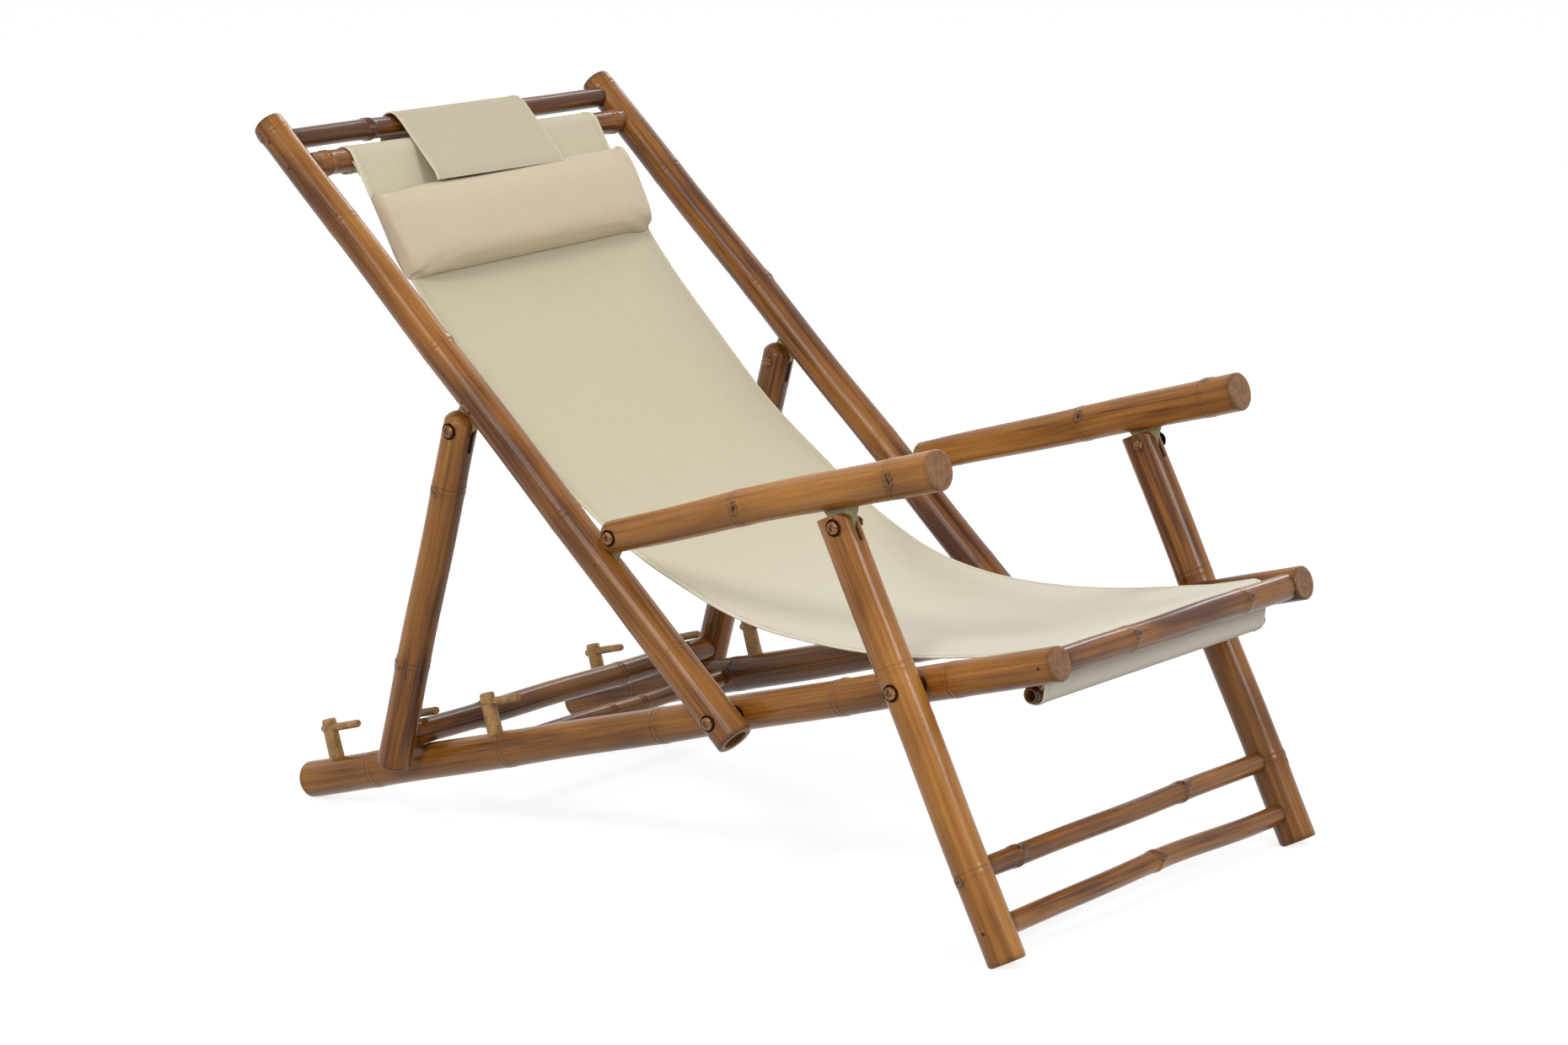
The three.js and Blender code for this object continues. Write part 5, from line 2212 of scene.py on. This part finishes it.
@dataclass
class SlingStrip(Strip):
    """The sling: drawn in and slack along its left edge over the seat, with soft folds."""

    dip: float = 5.0
    fold: float = 1.5
    slack: float = 15.0
    seat: tuple[float, float] = (560.0, 1160.0)

    def rise(self, lengths: Array, v: Array) -> Array:
        """How far the cloth stands off its line.

        Args:
            lengths: millimetres along the strip.
            v: positions across, -1 to 1.

        Returns:
            The rise of each point.
        """
        whole = lengths[-1]
        loose = np.clip(np.minimum(lengths - 150, whole - 150 - lengths) / 220, 0, 1)
        loose = (loose * loose * (3 - 2 * loose))[:, None]
        dip = -self.dip * (1 - v[None, :] ** 2) * loose
        folds = np.zeros((len(lengths), len(v)))
        for i, s in enumerate(lengths):
            for j, w in enumerate(v):
                at = Vector((w * 2.1 + s * 0.0012, s * 0.006, 4.0))
                folds[i, j] = noise.noise(at)
        edge = 0.9 * np.sin(lengths / 47.0)[:, None] * np.abs(v[None, :]) ** 6 * loose
        left = np.clip((v + 0.2) / 1.2, 0, 1)[None, :] ** 2
        sunk = self.slack * self.seated(lengths) * left
        return dip + self.fold * 2 * folds * loose + edge - sunk

    def bleach(self, lengths: Array) -> Array:
        """How much painted light pales the cloth, most over the upturned seat and at the front
        hem.

        Args:
            lengths: millimetres along the sling.

        Returns:
            A share for each row.
        """
        low, high = self.seat
        share = np.clip((lengths - low) / (high - low), 0, 1)
        return (0.55 * share * share * (3 - 2 * share))[:, None]

    def seated(self, lengths: Array) -> Array:
        """How much of the seat's slack shows along the sling, from 0 to 1.

        Args:
            lengths: millimetres along the sling.

        Returns:
            A share for each row.
        """
        low, high = self.seat
        share = np.clip((lengths - low) / (high - low), 0, 1)
        return (np.sin(np.pi * share) ** 2)[:, None]

    def draw(self, lengths: Array, v: Array) -> Array:
        """The share of its cut width that the cloth keeps."""
        left = np.where(v > 0, 0.03, 0.008)[None, :]
        return 1.012 - left * self.seated(lengths) - 0.008 * (lengths / lengths[-1])[:, None]


@dataclass
class StrapStrip(Strip):
    """The pillow's strap, which runs to the right as it comes down to the pillow."""

    slant: float = 18.5
    reach: float = 100.0

    def shift(self, lengths: Array) -> Array:
        """How far the strap's middle stands to the right along it."""
        share = np.clip(1 - lengths / self.reach, 0, 1)
        return (-self.slant * share)[:, None]


@dataclass
class Sling:
    """The canvas from its hem on the sling bar over the seat and inner bar to the front rod."""

    finishes: Finishes
    repeats: Repeats
    sag: tuple[Point, ...] = (
        (-456, 746), (-394, 653), (-298, 550), (-207, 465), (-117, 402), (-54, 366), (8, 340),
        (70, 317), (131, 303), (191, 297), (250, 295), (309, 298), (366, 304), (445, 316)
    )
    half_cloth: float = 1.2
    hem_turn: float = 262.0
    tail: float = 26.0

    def path(self) -> list[Point]:
        """The sling's line in the side view, from the end of one hem to the other's.

        Returns:
            Points in order from the head hem.
        """
        rod = HEM_ROD_RADIUS + CLEARANCE + self.half_cloth
        over_bar = SLING_BAR_RADIUS + CLEARANCE + self.half_cloth
        over_inner = INNER_BAR_RADIUS + CLEARANCE + self.half_cloth
        front_rod = PLAN.on_rail(*PLAN.hem_rod_at)
        bar = PLAN.on_pole(PLAN.sling_bar_station)
        inner = PLAN.on_rail(PLAN.inner_bar_station)
        back = tangent_angle(bar, self.sag[0], over_bar, 0, 1)
        seat = tangent_angle(inner, self.sag[-1], over_inner, 0, -1)
        front = tangent_angle(inner, front_rod, over_inner, rod, 1)
        bar_end = turn_down(back, 360)
        inner_start = turn_down(seat, 360)
        inner_end = turn_down(front, inner_start)
        under = wrap(inner, over_inner, inner_start, inner_end)
        head_loop = wrap(bar, over_bar, bar_end + self.hem_turn, bar_end)
        front_loop = wrap(front_rod, rod, inner_end, inner_end - self.hem_turn)
        return [
            *self.hem_tail(head_loop[-1], self.sag[0], unit(bar_end)), *head_loop,
            *catmull(list(self.sag), 6), *under, *front_loop,
            *reversed(self.hem_tail(front_loop[0], under[-1], unit(inner_end)))
        ]

    def hem_tail(self, leaves: Point, arrives: Point, outward: Point) -> list[Point]:
        """The end of the cloth, sewn flat against its own inner face.

        Args:
            leaves: where the cloth leaves the rod.
            arrives: where it reaches the next bar.
            outward: direction away from the rod at the first of these.

        Returns:
            Points from the cloth's end toward the rod.
        """
        way = toward(leaves, arrives)
        span = min(self.tail, distance(leaves, arrives) * 0.8)
        inside = [(span, 2.1), (span * 0.55, 2.1), (span * 0.25, 3.4)]
        return [plus(plus(leaves, way, s), outward, -off) for s, off in inside]

    def build(self) -> None:
        """Makes the sling and its stitches in place, and hides the imported sling."""
        line = resample(self.path(), 5.0)
        strip = SlingStrip("sling_cloth", line, HALF_CLOTH_WIDTH, 0.0, self.finishes.sling)
        piece = strip.build()
        steps = np.hypot(*np.diff(line, axis=0).T)
        length = float(steps.sum())
        rows = strip.rows(9.0, 30, length - 30)
        stitches = self.repeats.stitches("sling_stitches", rows, self.finishes.thread)
        for cloth in (piece, stitches):
            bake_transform(cloth)
        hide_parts("sling")
        LOG.info("sling cloth is %.0f mm long", length)


@dataclass
class Pillow:
    """The lightly stuffed pillow below the sling bar, two panels sewn together all round."""

    finishes: Finishes
    repeats: Repeats
    centre: Point = PLAN.pillow
    angle: float = PLAN.pillow_angle
    length: float = 118.0
    depth: float = 34.0
    half_width: float = 231.0
    middle: float = -3.0
    slant: float = 6.5
    corner: float = 13.0
    cell: float = 5.0
    start_share: float = 0.96
    travel: float = 6.0
    seam_at: float = -11.0

    def axes(self) -> Array:
        """Its upward, sideways and frontward directions as rows.

        Returns:
            The three rows.
        """
        up = unit(self.angle)
        front = rear(up)
        return np.array([[up[0], 0, up[1]], [0, 1, 0], [-front[0], 0, -front[1]]])

    def outline(self, x: float, y: float) -> Point:
        """A point of the panels' cut shape, a rectangle with rounded corners.

        Args:
            x: position up the pillow, -1 to 1.
            y: position across it, -1 to 1.

        Returns:
            Millimetres up and across from its centre.
        """
        level = max(abs(x), abs(y), 1e-9)
        half = self.length / 2
        a, b = half * x / level, self.half_width * y / level
        inner = (half - self.corner, self.half_width - self.corner)
        if abs(a) > inner[0] and abs(b) > inner[1]:
            off = (abs(a) - inner[0], abs(b) - inner[1])
            reach = math.hypot(*off)
            a = math.copysign(inner[0] + off[0] * self.corner / reach, a)
            b = math.copysign(inner[1] + off[1] * self.corner / reach, b)
        return a * level, b * level

    def crown(self, x: float, y: float, face: int) -> float:
        """How far a panel stands off the seam, flatter to the upper edge and the right end.

        Args:
            x: position up the pillow, -1 to 1.
            y: position across it, -1 to 1.
            face: 1 for the front panel and -1 for the back one.

        Returns:
            Millimetres toward the front.
        """
        up = 2.6 if x > 0 else 5.0
        across = 12.0 if y > 0 else 7.0
        share = math.sqrt((1 - abs(x) ** up) * (1 - abs(y) ** across))
        return self.seam_at + (face * self.depth / 2 - self.seam_at) * share

    def panels(self) -> Object:
        """The two panels sewn at their edge, a little smaller than the filled pillow.

        Returns:
            The cover.
        """
        rows = 2 * round(self.length / self.cell / 2)
        cols = 2 * round(2 * self.half_width / self.cell / 2)
        numbers: dict[tuple[int, int, int], int] = {}
        points: list[list[float]] = []
        own: list[list[float]] = []
        for face in (1, -1):
            for i in range(rows + 1):
                for j in range(cols + 1):
                    rim = i in (0, rows) or j in (0, cols)
                    if rim and face < 0:
                        numbers[face, i, j] = numbers[1, i, j]
                        continue
                    x = math.sin(math.pi / 2 * (2 * i / rows - 1))
                    y = 2 * j / cols - 1
                    a, b = self.outline(x, y)
                    numbers[face, i, j] = len(points)
                    points.append([a, b, self.crown(x, y, face)])
                    own.append([b, a, 0.0 if face > 0 else 5.0])
        faces: Faces = []
        for face in (1, -1):
            for i in range(rows):
                for j in range(cols):
                    cell = [(i, j), (i, j + 1), (i + 1, j + 1), (i + 1, j)]
                    corners = [numbers[face, *at] for at in cell]
                    faces.append(tuple(corners if face < 0 else corners[::-1]))
        placed = np.array(points) * self.start_share
        piece = mesh_object(
            "pillow_cushion", placed @ self.axes() + np.array(in_space(self.centre, 0.0)), faces,
            [self.finishes.pillow]
        )
        write(piece, "cloth", np.array(own))
        write(piece, "edge", np.full(len(own), 20.0))
        return piece

    def inflate(self, piece: Object) -> None:
        """Lets cloth pressure round the pillow out, within a cap on how far a point moves.

        Args:
            piece: the sewn cover.
        """
        before = places_of(piece)
        cloth = piece.modifiers.new("filling", "CLOTH")
        cloth.settings.use_pressure = True
        cloth.settings.uniform_pressure_force = 4
        cloth.settings.effector_weights.gravity = 0
        for number in range(1, 21):
            bpy.context.scene.frame_set(number)
        apply_modifiers(piece)
        moved = places_of(piece) - before
        far = np.linalg.norm(moved, axis=1)[:, None]
        cap = self.travel * MM
        LOG.info("the pillow's filling moved it up to %.1f mm", far.max() / MM)
        moved *= np.minimum(far, cap) / np.maximum(far, 1e-9)
        piece.data.vertices.foreach_set("co", (before + moved).ravel())
        bpy.context.scene.frame_set(1)
        finer = piece.modifiers.new("finer", "SUBSURF")
        finer.levels = finer.render_levels = 1
        apply_modifiers(piece)

    def settle(self, piece: Object) -> None:
        """Brings the pillow to its size, sinks its seam and rests its back on the sling.

        Args:
            piece: the filled cover.
        """
        mesh = piece.data
        middle = np.array(in_space(self.centre, 0.0))
        a, b, c = ((places_of(piece) / MM - middle) @ self.axes().T).T
        limits = (self.length / 2, self.half_width, self.depth / 2)
        a, b = a * limits[0] / np.abs(a).max(), b * limits[1] / np.abs(b).max()
        c = c * limits[2] / c.max()
        reach = np.maximum(np.abs(a) / limits[0], np.abs(b) / limits[1])
        seam = np.exp(-(((c - self.seam_at) / 4.0) ** 2)) * np.clip((reach - 0.8) / 0.15, 0, 1)
        along = np.where(np.abs(a) / limits[0] > np.abs(b) / limits[1], b, a)
        c = c + 0.5 * np.sin(along / 4.3 + 1.7 * np.sin(along / 23.0)) * seam
        a = a - 1.2 * seam * a / limits[0] + self.slant * b / self.half_width
        b = b - 1.2 * seam * b / limits[1] + self.middle
        world = np.stack([a, b, c], axis=-1) @ self.axes() + middle
        mesh.vertices.foreach_set("co", (self.clear_of_cloth(world) * MM).ravel())
        mesh.update()

    @staticmethod
    def clear_of_cloth(world: Array) -> Array:
        """Moves points that would sink in the sling to its front face.

        Args:
            world: the pillow's points in millimetres.

        Returns:
            The moved points.
        """
        line = np.array(catmull([(-475.0, 776.0), (-456, 746), (-394, 653), (-298, 550)], 12))
        way = np.gradient(line, axis=0)
        way /= np.linalg.norm(way, axis=1)[:, None]
        side = np.stack([-way[:, 1], way[:, 0]], axis=-1)
        flat = world[:, [0, 2]]
        gaps = flat[:, None, :] - line[None, :, :]
        nearest = np.argmin((gaps**2).sum(axis=2), axis=1)
        rise = (gaps[np.arange(len(flat)), nearest] * side[nearest]).sum(axis=1)
        lift = np.maximum(1.5 - rise, 0.0)
        world = world.copy()
        world[:, 0] += side[nearest, 0] * lift
        world[:, 2] += side[nearest, 1] * lift
        return world

    def build(self) -> None:
        """Makes the pillow."""
        piece = self.panels()
        self.inflate(piece)
        self.settle(piece)
        piece.data.shade_smooth()
        hand_over(piece, "backrest", "pillow_canvas", "pillow")


@dataclass
class PillowStrap:
    """The wide strap that carries the pillow over the head bar."""

    finishes: Finishes
    repeats: Repeats
    half_width: float = 116.0
    middle: float = 5.5
    slant: float = 18.5
    thickness: float = 3.0
    hang: float = 96.0
    leaves: float = 180.0
    rise_out: float = 3.0
    lift: float = 2.1

    def path(self) -> list[Point]:
        """The strap's line from the pillow's top edge to its loose end behind.

        Returns:
            Points in order.
        """
        up = unit(PLAN.pillow_angle)
        pillow = PLAN.pillow
        head_bar = PLAN.on_pole(PLAN.head_bar_station)
        radius = HEAD_BAR_RADIUS + self.lift + self.thickness / 2
        start = plus(plus(pillow, up, 60.0), rear(up), -self.rise_out)
        tucked = plus(plus(pillow, up, 50.0), rear(up), -self.rise_out)
        tangent = turn_down(tangent_angle(head_bar, start, radius, 0, 1), 360)
        end = plus(head_bar, unit(self.leaves), radius)
        return [
            tucked, start, *wrap(head_bar, radius, tangent, self.leaves),
            plus(end, (0, -1), self.hang * 0.5), plus(end, (0, -1), self.hang)
        ]

    def build(self) -> None:
        """Makes the strap and its stitches."""
        line = resample(self.path(), 4.0)
        strip = StrapStrip(
            "strap_cloth", line, self.half_width, self.middle, self.finishes.strap, thickness=1.2,
            hem_width=9.0, columns=44, slant=self.slant
        )
        piece = strip.build()
        length = float(np.hypot(*np.diff(line, axis=0).T).sum())
        rows = strip.rows(6.0, 8, length - 4)
        rows += [strip.cross_row(length - 12, face) for face in (1, -1)]
        stitches = self.repeats.stitches("strap_stitches", rows, self.finishes.thread)
        hand_over(piece, "backrest", "pillow_canvas", "pillow_strap")
        hand_over(stitches, "backrest", "pillow_canvas")
        LOG.info("strap cloth is %.0f mm long", length)


# --- studio ---


@dataclass
class Studio:
    """White floor and room, soft lights and the camera at the photograph's angle.

    The two side lights come in pairs: one lights the wood and the cloth and is not mirrored,
    and the other is seen only in the varnish, as the long thin lines of light on the culms.
    """

    eye: Triple = (3.1261, -4.0503, 1.4466)
    target: Triple = (-0.0090, 0.0, 0.3545)
    lens: float = 101.5
    shift_y: float = 0.008
    lit_point: Triple = (0.0, 0.0, 0.35)

    def camera(self) -> None:
        """Sets the camera."""
        data = bpy.data.cameras.new("studio_camera")
        data.lens = self.lens
        data.sensor_width = 36.0
        data.shift_y = self.shift_y
        data.clip_end = 60.0
        bpy.context.scene.camera = self.stand("studio_camera", data, self.eye, self.target)

    @staticmethod
    def stand(name: str, data: bpy.types.ID, at: Triple, target: Triple) -> Object:
        """Stands a camera or a lamp in the scene.

        Args:
            name: the object's name.
            data: the camera or light.
            at: where it stands.
            target: the point that it looks at.

        Returns:
            The object.
        """
        made = bpy.data.objects.new(name, data)
        made.location = at
        made.rotation_mode = "QUATERNION"
        made.rotation_quaternion = (Vector(target) - Vector(at)).to_track_quat("-Z", "Y")
        bpy.context.scene.collection.objects.link(made)
        return made

    def lamp(self, name: str, at: Triple, size: Point, power: float) -> Object:
        """Adds a soft light that looks at the chair.

        Args:
            name: the lamp's name.
            at: where it stands.
            size: the lit face's width and height.
            power: its power in watts.

        Returns:
            The lamp.
        """
        data = bpy.data.lights.new(name, "AREA")
        data.shape = "RECTANGLE"
        data.size, data.size_y = size
        data.energy = power
        return self.stand(name, data, at, self.lit_point)

    @staticmethod
    def seen(tree: NodeTree) -> Node:
        """One for the rays that show the room itself: camera, mirrored and passed through.

        Args:
            tree: the tree to add to.

        Returns:
            The node that gives one or zero.
        """
        rays = put(tree, "LightPath")
        first = put(
            tree, "Math", [rays.outputs["Is Camera Ray"], rays.outputs["Is Glossy Ray"]],
            operation="ADD"
        )
        return put(
            tree, "Math", [first, rays.outputs["Is Transmission Ray"]], operation="ADD",
            use_clamp=True
        )

    def floor(self) -> None:
        """Lays the floor, which the camera sees as white apart from the chair's shadow."""
        made = bpy.data.materials.new("studio_paper")
        tree = cleared(made)
        seen = self.seen(tree)
        glow = put(tree, "Math", [seen, 0.8], operation="MULTIPLY")
        paper = put(tree, "BsdfDiffuse", {"Color": "#A4A4A2"})
        lit = put(tree, "Emission", {"Color": colour(1.0), "Strength": glow})
        both = put(tree, "AddShader", [paper, lit])
        put(tree, "OutputMaterial", {"Surface": both})
        reach = 16000.0
        corners = np.array(
            [[-reach, -reach, 0], [reach, -reach, 0], [reach, reach, 0], [-reach, reach, 0]]
        )
        piece = mesh_object("studio_floor", corners, [(0, 1, 2, 3)], [made])

    def world(self) -> None:
        """A white room: white to the camera, gentle on the chair."""
        made = bpy.data.worlds.new("studio_room")
        bpy.context.scene.world = made
        tree = cleared(made)
        strength = put(tree, "MapRange", [self.seen(tree), 0.0, 1.0, 0.52, 1.0])
        sky = put(tree, "Background", {"Color": colour(1.0), "Strength": strength})
        put(tree, "OutputWorld", {"Surface": sky})

    def build(self) -> None:
        """Sets up the studio."""
        self.camera()
        self.world()
        self.floor()
        self.lamp("front_light", (4.6, -0.3, 3.2), (1.6, 1.6), 80.0)
        fills = (
            self.lamp("right_light", (0.8, -4.2, 3.7), (1.1, 1.1), 94.0),
            self.lamp("left_light", (-0.65, 4.2, 3.75), (2.2, 1.6), 76.0)
        )
        for fill in fills:
            fill.visible_glossy = False
        lines = (
            self.lamp("right_line", (0.8, -4.2, 3.7), (1.7, 1.7), 90.0),
            self.lamp("left_line", (-1.9, 6.3, 4.9), (0.9, 3.2), 75.0)
        )
        for line in lines:
            line.visible_diffuse = False
        scene = bpy.context.scene
        scene.view_settings.view_transform = "Standard"


def main() -> None:
    """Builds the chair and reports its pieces."""
    logging.basicConfig(level=logging.INFO, format="%(name)s: %(message)s")
    finishes = Finishes()
    repeats = Repeats()
    Studio().build()
    Members(finishes, Cutters(finishes)).build()
    Bars(finishes).build()
    LinkPlates(finishes).build()
    Pegs(finishes, repeats).build()
    Hardware(finishes, repeats).build()
    Sling(finishes, repeats).build()
    Pillow(finishes, repeats).build()
    PillowStrap(finishes, repeats).build()


if __name__ == "__main__":
    main()
